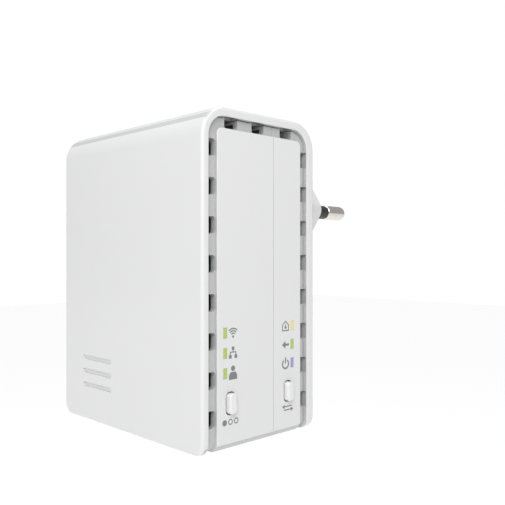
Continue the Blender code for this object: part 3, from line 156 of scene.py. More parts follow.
class Shape:
    """A bmesh under construction, shaped with Blender's operators."""

    def __init__(self) -> None:
        """Starts an empty shape."""
        self.bm = bmesh.new()

    def block(self, low: Sequence[float], high: Sequence[float]) -> list[bmesh.types.BMVert]:
        """Adds a box between two corners.

        Args:
            low: Lowest corner.
            high: Highest corner.

        Returns:
            The box's vertices.
        """
        low, high = Vector(low), Vector(high)
        size = high - low
        place = Matrix.Translation((low + high) / 2) @ Matrix.Diagonal((*size, 1.0))
        return bmesh.ops.create_cube(self.bm, size=1.0, matrix=place)["verts"]

    def rounded_bar(
        self, low: Sequence[float], high: Sequence[float], along: Axis, radius: float, steps: int
    ) -> None:
        """Adds a box whose four edges along one axis are round.

        Args:
            low: Lowest corner.
            high: Highest corner.
            along: The axis that the round edges follow.
            radius: Radius of the round edges.
            steps: Segments of each round edge.
        """
        verts = self.block(low, high)
        edges = {edge for vert in verts for edge in vert.link_edges if edge_runs(edge, along)}
        self.bevel(edges, radius, steps)

    def bevel(self, edges: Iterable[bmesh.types.BMEdge], width: float, steps: int) -> None:
        """Rounds edges.

        Args:
            edges: The edges to round.
            width: Radius of the rounding.
            steps: Segments of the rounding.
        """
        bmesh.ops.bevel(
            self.bm,
            geom=list(edges),
            offset=width,
            segments=steps,
            profile=0.5,
            affect="EDGES",
            material=-1,
            clamp_overlap=False,
        )

    def bevel_where(
        self, width: float, steps: int, test: EdgeTest | None = None, angle: float = BEVEL_ANGLE
    ) -> None:
        """Rounds the sharp edges that a test picks.

        Args:
            width: Radius of the rounding.
            steps: Segments of the rounding.
            test: Picks the edges; all sharp edges when left out.
            angle: The least angle, in degrees, of an edge that counts as sharp.
        """
        least = math.radians(angle)
        bmesh.ops.recalc_face_normals(self.bm, faces=self.bm.faces)
        picked = [
            edge
            for edge in self.bm.edges
            if len(edge.link_faces) == 2
            and edge.calc_face_angle() > least
            and (test is None or test(edge))
        ]
        self.bevel(picked, width, steps)

    def middle_height(self) -> float:
        """The height halfway up the shape."""
        heights = [vert.co.z for vert in self.bm.verts]
        return (min(heights) + max(heights)) / 2

    def round_roof(self, radius: float, steps: int) -> None:
        """Rounds the two upper bends, which run along X."""
        middle = self.middle_height()
        self.bevel_where(radius, steps, lambda edge: edge_runs(edge, Axis.X) and middle_of(edge).z > middle)

    def round_feet(self, radius: float, steps: int) -> None:
        """Rounds the lower corners, which run along Y."""
        middle = self.middle_height()
        self.bevel_where(radius, steps, lambda edge: edge_runs(edge, Axis.Y) and middle_of(edge).z < middle)

    def push(self, faces: Sequence[bmesh.types.BMFace], step: Sequence[float]) -> list[bmesh.types.BMVert]:
        """Extrudes flat faces into a solid.

        Args:
            faces: The faces.
            step: The extrusion.

        Returns:
            The moved vertices.
        """
        grown = bmesh.ops.extrude_face_region(self.bm, geom=list(faces))["geom"]
        moved = [item for item in grown if isinstance(item, bmesh.types.BMVert)]
        bmesh.ops.translate(self.bm, verts=moved, vec=Vector(step))
        return moved

    def scale_about(
        self, verts: Sequence[bmesh.types.BMVert], centre: Vector, shares: Sequence[float]
    ) -> None:
        """Scales vertices about a point, by a share along each axis."""
        bmesh.ops.scale(self.bm, verts=verts, vec=Vector(shares), space=Matrix.Translation(-centre))

    def place(self, matrix: Matrix) -> None:
        """Moves the whole shape."""
        bmesh.ops.transform(self.bm, matrix=matrix, verts=self.bm.verts)

    def turned(self, profile: Sequence[tuple[float, float]], steps: int) -> None:
        """Adds a solid turned about the Y axis.

        Args:
            profile: Pairs of distance along Y and radius.
            steps: Segments round the axis.
        """
        verts = [self.bm.verts.new((radius, along, 0.0)) for along, radius in profile]
        edges = [self.bm.edges.new(pair) for pair in zip(verts, verts[1:])]
        bmesh.ops.spin(
            self.bm,
            geom=verts + edges,
            cent=Vector(),
            axis=Vector((0.0, 1.0, 0.0)),
            angle=math.tau,
            steps=steps,
            use_merge=True,
        )
        bmesh.ops.remove_doubles(self.bm, verts=self.bm.verts, dist=WELD_DISTANCE)

    def turned_at(self, profile: Sequence[tuple[float, float]], steps: int, matrix: Matrix) -> None:
        """Adds a solid turned about the Y axis, then moved.

        Args:
            profile: Pairs of distance along Y and radius.
            steps: Segments round the axis.
            matrix: Where the solid's own frame goes.
        """
        solid = Shape()
        solid.turned(profile, steps)
        solid.place(matrix)
        self.take(solid)

    def take(self, other: "Shape") -> None:
        """Adds another shape's geometry to this one and frees it.

        Args:
            other: The shape to take in.
        """
        mesh = bpy.data.meshes.new("taken")
        other.bm.to_mesh(mesh)
        other.bm.free()
        self.bm.from_mesh(mesh)
        bpy.data.meshes.remove(mesh)

    def finish(self, name: str) -> bpy.types.Object:
        """Makes an object at the origin with outward faces and smooth round stretches.

        Args:
            name: The object's name.

        Returns:
            The new object.
        """
        bmesh.ops.recalc_face_normals(self.bm, faces=self.bm.faces)
        mesh = bpy.data.meshes.new(name)
        self.bm.to_mesh(mesh)
        self.bm.free()
        shade_round(mesh)
        item = bpy.data.objects.new(name, mesh)
        bpy.context.scene.collection.objects.link(item)
        return item


def edge_runs(edge: bmesh.types.BMEdge, along: Axis) -> bool:
    """Tells whether an edge is parallel to an axis.

    Args:
        edge: The edge.
        along: The axis.

    Returns:
        True when the edge is parallel to the axis.
    """
    direction = (edge.verts[1].co - edge.verts[0].co).normalized()
    return abs(direction[along.value]) > PARALLEL


def middle_of(edge: bmesh.types.BMEdge) -> Vector:
    """The point halfway along an edge."""
    return (edge.verts[0].co + edge.verts[1].co) / 2


def shade_round(mesh: bpy.types.Mesh) -> None:
    """Shades a mesh smooth, apart from its sharp edges."""
    mesh.shade_smooth()
    mesh.set_sharp_from_angle(angle=math.radians(SHARP_ANGLE))


def boolean(piece: bpy.types.Object, operation: str, tools: Sequence[bpy.types.Object]) -> None:
    """Cuts or joins a piece with tools, one after the other, and removes the tools.

    Args:
        piece: The piece, whose mesh is replaced by the result.
        operation: DIFFERENCE or UNION.
        tools: The closed solids to use.
    """
    for tool in tools:
        modifier = piece.modifiers.new(tool.name, "BOOLEAN")
        modifier.operation = operation
        modifier.solver = "EXACT"
        modifier.object = tool
    apply_modifiers(piece)
    for tool in tools:
        bpy.data.objects.remove(tool, do_unlink=True)


def apply_modifiers(piece: bpy.types.Object) -> None:
    """Bakes a piece's modifiers into its own mesh.

    Args:
        piece: The piece.
    """
    graph = bpy.context.evaluated_depsgraph_get()
    mesh = bpy.data.meshes.new_from_object(piece.evaluated_get(graph))
    piece.modifiers.clear()
    piece.data = mesh


def even_out_shading(piece: bpy.types.Object) -> None:
    """Keeps large flat faces flat in shading next to their small round edges.

    Args:
        piece: The piece.
    """
    shade_round(piece.data)
    modifier = piece.modifiers.new("even_shading", "WEIGHTED_NORMAL")
    modifier.mode = "FACE_AREA"
    modifier.weight = SHADING_WEIGHT
    modifier.keep_sharp = True


# ---------------------------------------------------------------- finishes


class NodeBuilder:
    """Adds and links nodes of one node tree, left to right."""

    def __init__(self, tree: bpy.types.NodeTree) -> None:
        """Starts on a tree.

        Args:
            tree: The node tree to fill.
        """
        self.tree = tree

    def add(self, kind: str, **values: object) -> bpy.types.Node:
        """Adds a node and sets its properties.

        Args:
            kind: The node's type name.
            values: Properties by name.

        Returns:
            The new node.
        """
        node = self.tree.nodes.new(kind)
        node.location = (220.0 * len(self.tree.nodes), 0.0)
        for name, value in values.items():
            setattr(node, name, value)
        return node

    def link(self, source: bpy.types.NodeSocket, target: bpy.types.NodeSocket) -> None:
        """Links an output to an input."""
        self.tree.links.new(source, target)

    def noise(self, vector: bpy.types.NodeSocket, scale: float, detail: float) -> bpy.types.NodeSocket:
        """Adds a noise texture.

        Args:
            vector: Where the noise is read.
            scale: The noise's scale.
            detail: The noise's detail.

        Returns:
            The noise's factor.
        """
        node = self.add("ShaderNodeTexNoise")
        node.inputs["Scale"].default_value = scale
        node.inputs["Detail"].default_value = detail
        self.link(vector, node.inputs["Vector"])
        return node.outputs["Fac"]

    def spread(self, value: bpy.types.NodeSocket, low: float, high: float) -> bpy.types.NodeSocket:
        """Maps a value from 0 to 1 onto a range.

        Args:
            value: The value to map.
            low: What 0 becomes.
            high: What 1 becomes.

        Returns:
            The mapped value.
        """
        node = self.add("ShaderNodeMapRange")
        node.inputs["To Min"].default_value = low
        node.inputs["To Max"].default_value = high
        self.link(value, node.inputs["Value"])
        return node.outputs["Result"]

    def coordinates(self) -> bpy.types.NodeSocket:
        """Adds the object's own coordinates."""
        return self.add("ShaderNodeTexCoord").outputs["Object"]

    def multiply_add(self, *terms: bpy.types.NodeSocket | float) -> bpy.types.NodeSocket:
        """Adds a node that works out first x second + third.

        Args:
            terms: Three outputs or numbers.

        Returns:
            The result.
        """
        node = self.add("ShaderNodeMath", operation="MULTIPLY_ADD")
        for term, socket in zip(terms, node.inputs):
            if isinstance(term, bpy.types.NodeSocket):
                self.link(term, socket)
            else:
                socket.default_value = term
        return node.outputs[0]

    def surface(
        self, group: bpy.types.NodeTree, values: dict[str, object], shader: bpy.types.Node
    ) -> None:
        """Places a surface group and leads its colour, roughness and normal to a shader.

        Args:
            group: The group.
            values: The group's inputs by name.
            shader: The material's Principled BSDF.
        """
        node = self.add("ShaderNodeGroup", node_tree=group)
        for name, value in values.items():
            node.inputs[name].default_value = value
        for output, target in (("Color", "Base Color"), ("Roughness", "Roughness"), ("Normal", "Normal")):
            self.link(node.outputs[output], shader.inputs[target])


FLOAT = "NodeSocketFloat"
COLOUR = "NodeSocketColor"
VECTOR = "NodeSocketVector"


def new_surface_group(name: str, inputs: dict[str, tuple[str, object]]) -> bpy.types.NodeTree:
    """Makes a shader group that puts out a colour, a roughness and a normal.

    Args:
        name: The group's name.
        inputs: Socket type and default value by socket name.

    Returns:
        The new group, with its input and output nodes.
    """
    group = bpy.data.node_groups.new(name, "ShaderNodeTree")
    for socket_name, (kind, default) in inputs.items():
        socket = group.interface.new_socket(socket_name, in_out="INPUT", socket_type=kind)
        socket.default_value = default
    for socket_name, kind in (("Color", COLOUR), ("Roughness", FLOAT), ("Normal", VECTOR)):
        group.interface.new_socket(socket_name, in_out="OUTPUT", socket_type=kind)
    group.nodes.new("NodeGroupInput")
    group.nodes.new("NodeGroupOutput")
    return group


class SurfaceGroups:
    """The shared surface effects, each built once."""

    MOTTLE_SCALE = 70.0
    HANDLING_SCALE = 240.0
    GRAIN_DEPTH = 0.00002
    LINE_SCALE = 5200.0
    LINE_STRETCH = (1.0, 0.06, 1.0)
    LINE_DEPTH = 0.00001
    LINE_GLOSS = (-0.06, 0.08)
    PATCH_SCALE = 420.0
    PATCH_SHARE = 0.45

    @classmethod
    def moulded(cls) -> bpy.types.NodeTree:
        """Fine spark-eroded texture, faint flow mottling and uneven gloss of a moulding.

        Returns:
            The shared node group.
        """
        name = "moulded_surface"
        if name in bpy.data.node_groups:
            return bpy.data.node_groups[name]
        inputs = {
            "Tint": (COLOUR, (0.8, 0.8, 0.8, 1.0)),
            "Shade Shift": (FLOAT, 0.02),
            "Gloss": (FLOAT, 0.35),
            "Gloss Shift": (FLOAT, 0.06),
            "Grain Size": (FLOAT, 6000.0),
            "Grain Height": (FLOAT, 0.2),
        }
        group = new_surface_group(name, inputs)
        build = NodeBuilder(group)
        source = group.nodes["Group Input"].outputs
        target = group.nodes["Group Output"].inputs
        coords = build.coordinates()
        mottle = build.noise(coords, cls.MOTTLE_SCALE, 4.0)
        shift = build.multiply_add(mottle, source["Shade Shift"], 1.0)
        level = build.multiply_add(source["Shade Shift"], -0.5, shift)
        tint = build.add("ShaderNodeVectorMath", operation="SCALE")
        build.link(source["Tint"], tint.inputs[0])
        build.link(level, tint.inputs["Scale"])
        build.link(tint.outputs[0], target["Color"])
        handling = build.spread(build.noise(coords, cls.HANDLING_SCALE, 5.0), -0.5, 0.5)
        gloss = build.multiply_add(handling, source["Gloss Shift"], source["Gloss"])
        build.link(gloss, target["Roughness"])
        grain = build.add("ShaderNodeTexNoise")
        grain.inputs["Detail"].default_value = 2.0
        build.link(coords, grain.inputs["Vector"])
        build.link(source["Grain Size"], grain.inputs["Scale"])
        cls.bump(build, grain.outputs["Fac"], source["Grain Height"], cls.GRAIN_DEPTH, target["Normal"])
        return group

    @classmethod
    def drawn_metal(cls) -> bpy.types.NodeTree:
        """Fine lines and uneven polish of drawn, rolled or stamped metal.

        Returns:
            The shared node group.
        """
        name = "drawn_metal_surface"
        if name in bpy.data.node_groups:
            return bpy.data.node_groups[name]
        inputs = {
            "Tint": (COLOUR, (0.7, 0.7, 0.7, 1.0)),
            "Tarnish": (COLOUR, (0.5, 0.5, 0.5, 1.0)),
            "Gloss": (FLOAT, 0.3),
            "Line Height": (FLOAT, 0.2),
        }
        group = new_surface_group(name, inputs)
        build = NodeBuilder(group)
        source = group.nodes["Group Input"].outputs
        target = group.nodes["Group Output"].inputs
        coords = build.coordinates()
        stretch = build.add("ShaderNodeMapping")
        stretch.inputs["Scale"].default_value = cls.LINE_STRETCH
        build.link(coords, stretch.inputs["Vector"])
        lines = build.noise(stretch.outputs["Vector"], cls.LINE_SCALE, 3.0)
        patches = build.noise(coords, cls.PATCH_SCALE, 4.0)
        mix = build.add("ShaderNodeMix", data_type="RGBA")
        build.link(build.spread(patches, 0.0, cls.PATCH_SHARE), mix.inputs["Factor"])
        build.link(source["Tint"], mix.inputs["A"])
        build.link(source["Tarnish"], mix.inputs["B"])
        build.link(mix.outputs["Result"], target["Color"])
        gloss = build.multiply_add(build.spread(lines, *cls.LINE_GLOSS), 1.0, source["Gloss"])
        build.link(gloss, target["Roughness"])
        cls.bump(build, lines, source["Line Height"], cls.LINE_DEPTH, target["Normal"])
        return group

    @staticmethod
    def bump(
        build: NodeBuilder, height: bpy.types.NodeSocket, strength: bpy.types.NodeSocket,
        depth: float, target: bpy.types.NodeSocket,
    ) -> None:
        """Adds a bump and leads its normal to a socket.

        Args:
            build: Adds nodes to the group.
            height: The relief.
            strength: The bump's strength.
            depth: The relief's depth.
            target: Where the normal goes.
        """
        node = build.add("ShaderNodeBump")
        node.inputs["Distance"].default_value = depth
        build.link(strength, node.inputs["Strength"])
        build.link(height, node.inputs["Height"])
        build.link(node.outputs["Normal"], target)


@dataclass(frozen=True)
class Finish:
    """What every finish has: a name, and a material that is built on first use.

    Args:
        name: The material's name.
    """

    name: str

    def material(self) -> bpy.types.Material:
        """Builds the finish's material on first use.

        Returns:
            The material.
        """
        if self.name not in bpy.data.materials:
            made = bpy.data.materials.new(self.name)
            made.use_nodes = True
            self.fill(NodeBuilder(made.node_tree), made.node_tree.nodes["Principled BSDF"])
        return bpy.data.materials[self.name]

    def fill(self, build: NodeBuilder, shader: bpy.types.Node) -> None:
        """Fills in the material's nodes.

        Args:
            build: Adds nodes to the material.
            shader: The material's Principled BSDF.
        """
        raise NotImplementedError


@dataclass(frozen=True)
class Moulding(Finish):
    """Injection-moulded plastic.

    Args:
        tint: The plastic's colour.
        gloss: Its mean roughness.
        gloss_shift: How much the roughness varies.
        shade_shift: How much the colour varies.
        grain_size: Scale of the fine texture.
        grain_height: Strength of the fine texture.
        coat: Weight of a clear skin over it.
    """

    tint: Colour
    gloss: float = 0.36
    gloss_shift: float = 0.08
    shade_shift: float = 0.02
    grain_size: float = 5200.0
    grain_height: float = 0.25
    coat: float = 0.0

    def fill(self, build: NodeBuilder, shader: bpy.types.Node) -> None:
        """Fills in the material's nodes.

        Args:
            build: Adds nodes to the material.
            shader: The material's Principled BSDF.
        """
        values = {
            "Tint": (*self.tint, 1.0),
            "Shade Shift": self.shade_shift,
            "Gloss": self.gloss,
            "Gloss Shift": self.gloss_shift,
            "Grain Size": self.grain_size,
            "Grain Height": self.grain_height,
        }
        build.surface(SurfaceGroups.moulded(), values, shader)
        shader.inputs["Coat Weight"].default_value = self.coat
        shader.inputs["Coat Roughness"].default_value = COAT_ROUGHNESS


@dataclass(frozen=True)
class Metal(Finish):
    """Drawn or stamped metal.

    Args:
        tint: The metal's colour.
        tarnish: The colour of its duller patches.
        gloss: Its mean roughness.
        line_height: Strength of the drawn lines.
    """

    tint: Colour
    tarnish: Colour
    gloss: float = 0.28
    line_height: float = 0.2

    def fill(self, build: NodeBuilder, shader: bpy.types.Node) -> None:
        """Fills in the material's nodes.

        Args:
            build: Adds nodes to the material.
            shader: The material's Principled BSDF.
        """
        values = {
            "Tint": (*self.tint, 1.0),
            "Tarnish": (*self.tarnish, 1.0),
            "Gloss": self.gloss,
            "Line Height": self.line_height,
        }
        build.surface(SurfaceGroups.drawn_metal(), values, shader)
        shader.inputs["Metallic"].default_value = 1.0


@dataclass(frozen=True)
class LitWindows(Finish):
    """Clear light guides whose windows glow, each in its lamp's colour.

    Args:
        low: Height where the first lamp's colour starts.
        high: Height where the last lamp's colour ends.
        lamps: The lamps' colours, from the lowest up.
        strength: How strongly the windows glow.
        cloud_scale: Scale of the cloudiness in the clear plastic.
        cloud_light: Least and most light through the cloudiness.
        cloud_gloss: Least and most roughness.
    """

    low: float
    high: float
    lamps: tuple[Lamp, ...]
    strength: float = 0.12
    cloud_scale: float = 1500.0
    cloud_light: tuple[float, float] = (0.85, 1.15)
    cloud_gloss: tuple[float, float] = (0.18, 0.30)

    def fill(self, build: NodeBuilder, shader: bpy.types.Node) -> None:
        """Fills in the material's nodes, with one band of colour for each lamp up the column.

        Args:
            build: Adds nodes to the material.
            shader: The material's Principled BSDF.
        """
        coords = build.coordinates()
        axes = build.add("ShaderNodeSeparateXYZ")
        build.link(coords, axes.inputs["Vector"])
        along = build.add("ShaderNodeMapRange")
        along.inputs["From Min"].default_value = self.low
        along.inputs["From Max"].default_value = self.high
        build.link(axes.outputs["Z"], along.inputs["Value"])
        bands = build.add("ShaderNodeValToRGB")
        bands.color_ramp.interpolation = "CONSTANT"
        stops = bands.color_ramp.elements
        stops[0].color = (*self.lamps[0].value, 1.0)
        stops[1].position = 1.0 / len(self.lamps)
        stops[1].color = (*self.lamps[1].value, 1.0)
        for index in range(2, len(self.lamps)):
            stop = stops.new(index / len(self.lamps))
            stop.color = (*self.lamps[index].value, 1.0)
        build.link(along.outputs["Result"], bands.inputs["Fac"])
        cloud = build.noise(coords, self.cloud_scale, 3.0)
        lift = build.add("ShaderNodeVectorMath", operation="SCALE")
        build.link(bands.outputs["Color"], lift.inputs[0])
        build.link(build.spread(cloud, *self.cloud_light), lift.inputs["Scale"])
        build.link(lift.outputs["Vector"], shader.inputs["Base Color"])
        build.link(lift.outputs["Vector"], shader.inputs["Emission Color"])
        shader.inputs["Emission Strength"].default_value = self.strength
        build.link(build.spread(cloud, *self.cloud_gloss), shader.inputs["Roughness"])


WHITE_SLEEVE = Moulding("white_sleeve_plastic", (0.680, 0.681, 0.683), gloss=0.34, coat=0.15)
WHITE_CASE = Moulding("white_case_plastic", (0.680, 0.681, 0.683), gloss=0.42, grain_height=0.35)
WHITE_BUTTON = Moulding("white_button_plastic", (0.710, 0.711, 0.713), gloss=0.30, coat=0.2)
WHITE_PLUG = Moulding("white_plug_plastic", (0.650, 0.650, 0.645), gloss=0.46, grain_height=0.4)
GREY_INK = Moulding("grey_ink", (0.190, 0.195, 0.205), gloss=0.55, shade_shift=0.12, grain_height=0.1)
# Painted shade: the darker tint stands in for the shadow in the channel, the slots and the inner faces; the
# coarser grain and duller gloss are the texture of those faces.
CHANNEL_TEXTURE_AND_PAINTED_SHADE = Moulding(
    "channel_texture", (0.480, 0.482, 0.485), gloss=0.55, grain_size=3600.0, grain_height=0.6
)
BLACK_SLEEVING = Moulding("black_sleeving", (0.018, 0.018, 0.020), gloss=0.45)
BLACK_PACKAGE = Moulding("black_package", (0.022, 0.022, 0.024), gloss=0.55, grain_height=0.6)
BLACK_JACK = Moulding("black_jack_plastic", (0.020, 0.020, 0.022), gloss=0.40)
GREY_PLUNGER = Moulding("grey_plunger", (0.42, 0.42, 0.40), gloss=0.45)
BOARD_GREEN = Moulding("board_green", (0.010, 0.050, 0.022), gloss=0.28, shade_shift=0.3, coat=0.3)
FERRITE = Moulding("ferrite", (0.045, 0.045, 0.050), gloss=0.62, shade_shift=0.25, grain_height=0.8)
YELLOW_TAPE = Moulding("yellow_tape", (0.70, 0.46, 0.05), gloss=0.33, shade_shift=0.10)
YELLOW_BOX = Moulding("yellow_box", (0.66, 0.44, 0.06), gloss=0.45, grain_height=0.5)
CAN_SLEEVE = Moulding("can_sleeve", (0.020, 0.022, 0.045), gloss=0.30, coat=0.3)
BLUE_DIP = Moulding("blue_dip", (0.020, 0.060, 0.280), gloss=0.28, shade_shift=0.15, coat=0.4)
GREY_CHOKE = Moulding("grey_choke", (0.30, 0.31, 0.31), gloss=0.50)
LAMP_BODY = Moulding("lamp_body", (0.74, 0.72, 0.60), gloss=0.35)
FLOOR_CARD = Moulding("floor_card", (0.90, 0.90, 0.90), gloss=0.95, grain_height=0.0)
NICKEL = Metal("nickel_plate", (0.72, 0.70, 0.66), (0.60, 0.57, 0.52), gloss=0.20)
BRASS = Metal("bare_brass", (0.78, 0.58, 0.28), (0.55, 0.38, 0.18), gloss=0.30)
GOLD = Metal("gold_plate", (0.88, 0.66, 0.30), (0.76, 0.54, 0.24), gloss=0.24)
STEEL = Metal("zinc_steel", (0.60, 0.61, 0.63), (0.46, 0.47, 0.50), gloss=0.32)
ALUMINIUM = Metal("extruded_aluminium", (0.74, 0.75, 0.77), (0.62, 0.63, 0.66), gloss=0.36)


def dress(piece: bpy.types.Object, finish: Finish) -> None:
    """Gives a piece one finish.

    Args:
        piece: The piece.
        finish: Its finish.
    """
    piece.data.materials.clear()
    piece.data.materials.append(finish.material())


def paint_recess_shade(piece: bpy.types.Object, is_recessed: Callable[[Vector], bool]) -> None:
    """Paints the faces in a piece's recesses darker, as painted shade, and gives them the channel's coarser,
    duller texture.

    Args:
        piece: The piece, already dressed.
        is_recessed: Tells from a face's middle whether it lies in a recess.
    """
    # The recess faces get the darker material, which is painted shade.
    piece.data.materials.append(CHANNEL_TEXTURE_AND_PAINTED_SHADE.material())
    last = len(piece.data.materials) - 1
    for face in piece.data.polygons:
        if is_recessed(face.center):
            face.material_index = last


def stand_in(piece: bpy.types.Object, node: str, body: str, finish: Finish) -> None:
    """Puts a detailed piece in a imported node's place.

    Args:
        piece: The detailed piece.
        node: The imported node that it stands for.
        body: The body that it moves with.
        finish: Its finish.
    """
    dress(piece, finish)
    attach(piece, body)
    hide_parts(node)
    LOG.info("%s stands for %s", piece.name, node)


# ---------------------------------------------------------------- outer sleeve


@dataclass
class Sleeve:
    """The white cover that wraps round the front, the roof and the back.

    Args:
        layout: Where the case lies.
        front_wall: Thickness of the front leg.
        roof_wall: Thickness of the roof.
        rear_wall: Thickness of the rear leg.
        corner: Outer radius of the two upper bends.
        foot: Radius of each leg's lower corners.
        outer_fillet: Radius of the outer edges.
        inner_fillet: Radius of the inner edges.
        pocket_depth: Depth of the air pockets beside the vent slots.
        pocket_lip: Width of the rim between a pocket and the sleeve's side.
        pocket_reach: Length of a pocket across the case.
        past: How far a cutter runs past what it cuts.
        groove_count: Number of finger grooves.
        groove_length: Length of a groove.
        groove_width: Width of a groove.
        groove_depth: Depth of a groove.
        groove_pitch: Distance between grooves.
        groove_side: Distance from the left edge to the grooves' middle.
        groove_height: Height of the lowest groove.
        bend_steps: Segments of an upper bend's outside.
        inner_bend_steps: Segments of its inside.
        foot_steps: Segments of a lower corner.
        fillet_steps: Segments of an outer fillet.
        inner_fillet_steps: Segments of an inner fillet.
        inner_edge_angle: The least angle, in degrees, of an inner edge that is eased.
        groove_steps: Segments of a groove's round end.
        groove_roundness: Radius of a groove's end, as a share of its width.
    """

    layout: Layout
    front_wall: float = 0.00175
    roof_wall: float = 0.0020
    rear_wall: float = 0.00255
    corner: float = 0.0065
    foot: float = 0.0030
    outer_fillet: float = 0.0008
    inner_fillet: float = 0.0002
    pocket_depth: float = 0.0006
    pocket_lip: float = 0.0004
    pocket_reach: float = 0.0030
    past: float = 0.0020
    groove_count: int = 3
    groove_length: float = 0.0130
    groove_width: float = 0.0011
    groove_depth: float = 0.0004
    groove_pitch: float = 0.0034
    groove_side: float = 0.0158
    groove_height: float = 0.0090
    bend_steps: int = 18
    inner_bend_steps: int = 14
    foot_steps: int = 12
    fillet_steps: int = 6
    inner_fillet_steps: int = 3
    inner_edge_angle: float = 50.0
    groove_steps: int = 8
    groove_roundness: float = 0.49

    @property
    def inner_front(self) -> float:
        """The front leg's inner face."""
        return self.layout.low.y + self.front_wall

    @property
    def inner_rear(self) -> float:
        """The rear leg's inner face."""
        return self.layout.high.y - self.rear_wall

    @property
    def inner_roof(self) -> float:
        """The roof's inner face."""
        return self.layout.high.z - self.roof_wall

    def is_recessed(self, point: Vector) -> bool:
        """Tells whether a face's middle lies on the inner skin or in an air pocket, where painted shade
        goes.

        Args:
            point: The face's middle.

        Returns:
            True on the inner skin and in a pocket.
        """
        inside = self.is_between(point, self.pocket_depth + SLACK)
        return inside and abs(point.x) < self.layout.high.x - self.inner_fillet

    def is_between(self, point: Vector, slack: float) -> bool:
        """Tells whether a point lies in the space between the legs, or just past its walls."""
        between = self.inner_front - slack < point.y < self.inner_rear + slack
        return between and point.z < self.inner_roof + slack

    def build(self) -> bpy.types.Object:
        """Rounds a block, hollows it from side to side and eases the hollow's edges.

        Returns:
            The sleeve.
        """
        low, high = self.layout.low, self.layout.high
        block = Shape()
        block.block(low, high)
        block.round_roof(self.corner, self.bend_steps)
        block.round_feet(self.foot, self.foot_steps)
        block.bevel_where(self.outer_fillet, self.fillet_steps)
        sleeve = block.finish("sleeve_shell")
        hollow = Shape()
        hollow.block(
            (low.x - self.past, self.inner_front, low.z - self.past),
            (high.x + self.past, self.inner_rear, self.inner_roof),
        )
        hollow.round_roof(self.corner - self.roof_wall, self.inner_bend_steps)
        boolean(sleeve, "DIFFERENCE", [hollow.finish("sleeve_hollow_cutter")])
        eased = Shape()
        eased.bm.from_mesh(sleeve.data)
        eased.bevel_where(
            self.inner_fillet,
            self.inner_fillet_steps,
            lambda edge: self.is_between(middle_of(edge), SLACK),
            self.inner_edge_angle,
        )
        eased.bm.to_mesh(sleeve.data)
        eased.bm.free()
        return sleeve

    def pockets(self, case: "InnerCase") -> bpy.types.Object:
        """Builds the cutters of the shallow air pockets beside the case's vent slots.

        Args:
            case: The inner case, which knows its slots.

        Returns:
            The cutters as one object.
        """
        shape = Shape()
        outer = self.layout.high.x - self.pocket_lip
        inner = outer - self.pocket_reach
        depth = self.pocket_depth
        for side in (-1, 1):
            near, far = sorted((side * inner, side * outer))
            for low_z, high_z in case.column_heights():
                shape.block((near, self.inner_front - depth, low_z), (far, self.inner_front + depth, high_z))
                shape.block((near, self.inner_rear - depth, low_z), (far, self.inner_rear + depth, high_z))
            for low_y, high_y in case.top_places():
                shape.block((near, low_y, self.inner_roof - depth), (far, high_y, self.inner_roof + depth))
        return shape.finish("air_pocket_cutter")

    def grooves(self) -> bpy.types.Object:
        """Builds the cutters of the finger grooves, low on the front face.

        Returns:
            The cutters as one object.
        """
        shape = Shape()
        low = self.layout.low
        middle_x = low.x + self.groove_side
        half_length, half_width = self.groove_length / 2, self.groove_width / 2
        radius = self.groove_width * self.groove_roundness
        for index in range(self.groove_count):
            middle_z = low.z + self.groove_height + index * self.groove_pitch
            shape.rounded_bar(
                (middle_x - half_length, low.y - self.past, middle_z - half_width),
                (middle_x + half_length, low.y + self.groove_depth, middle_z + half_width),
                Axis.Y, radius, self.groove_steps,
            )
        return shape.finish("groove_cutter")

    def make(self, plug: "PlugModule", case: "InnerCase") -> None:
        """Builds the sleeve, opens it for the plug and dresses it.

        Args:
            plug: The plug, which knows its seat in the rear leg.
            case: The inner case, which knows its vent slots.
        """
        sleeve = self.build()
        boolean(sleeve, "DIFFERENCE", [self.grooves(), self.pockets(case), *plug.seat_cutters()])
        even_out_shading(sleeve)
        stand_in(sleeve, "outer_sleeve", "case", WHITE_SLEEVE)
        # Painted shade on the sleeve's inner skin and air pockets.
        paint_recess_shade(sleeve, self.is_recessed)


# ---------------------------------------------------------------- plug


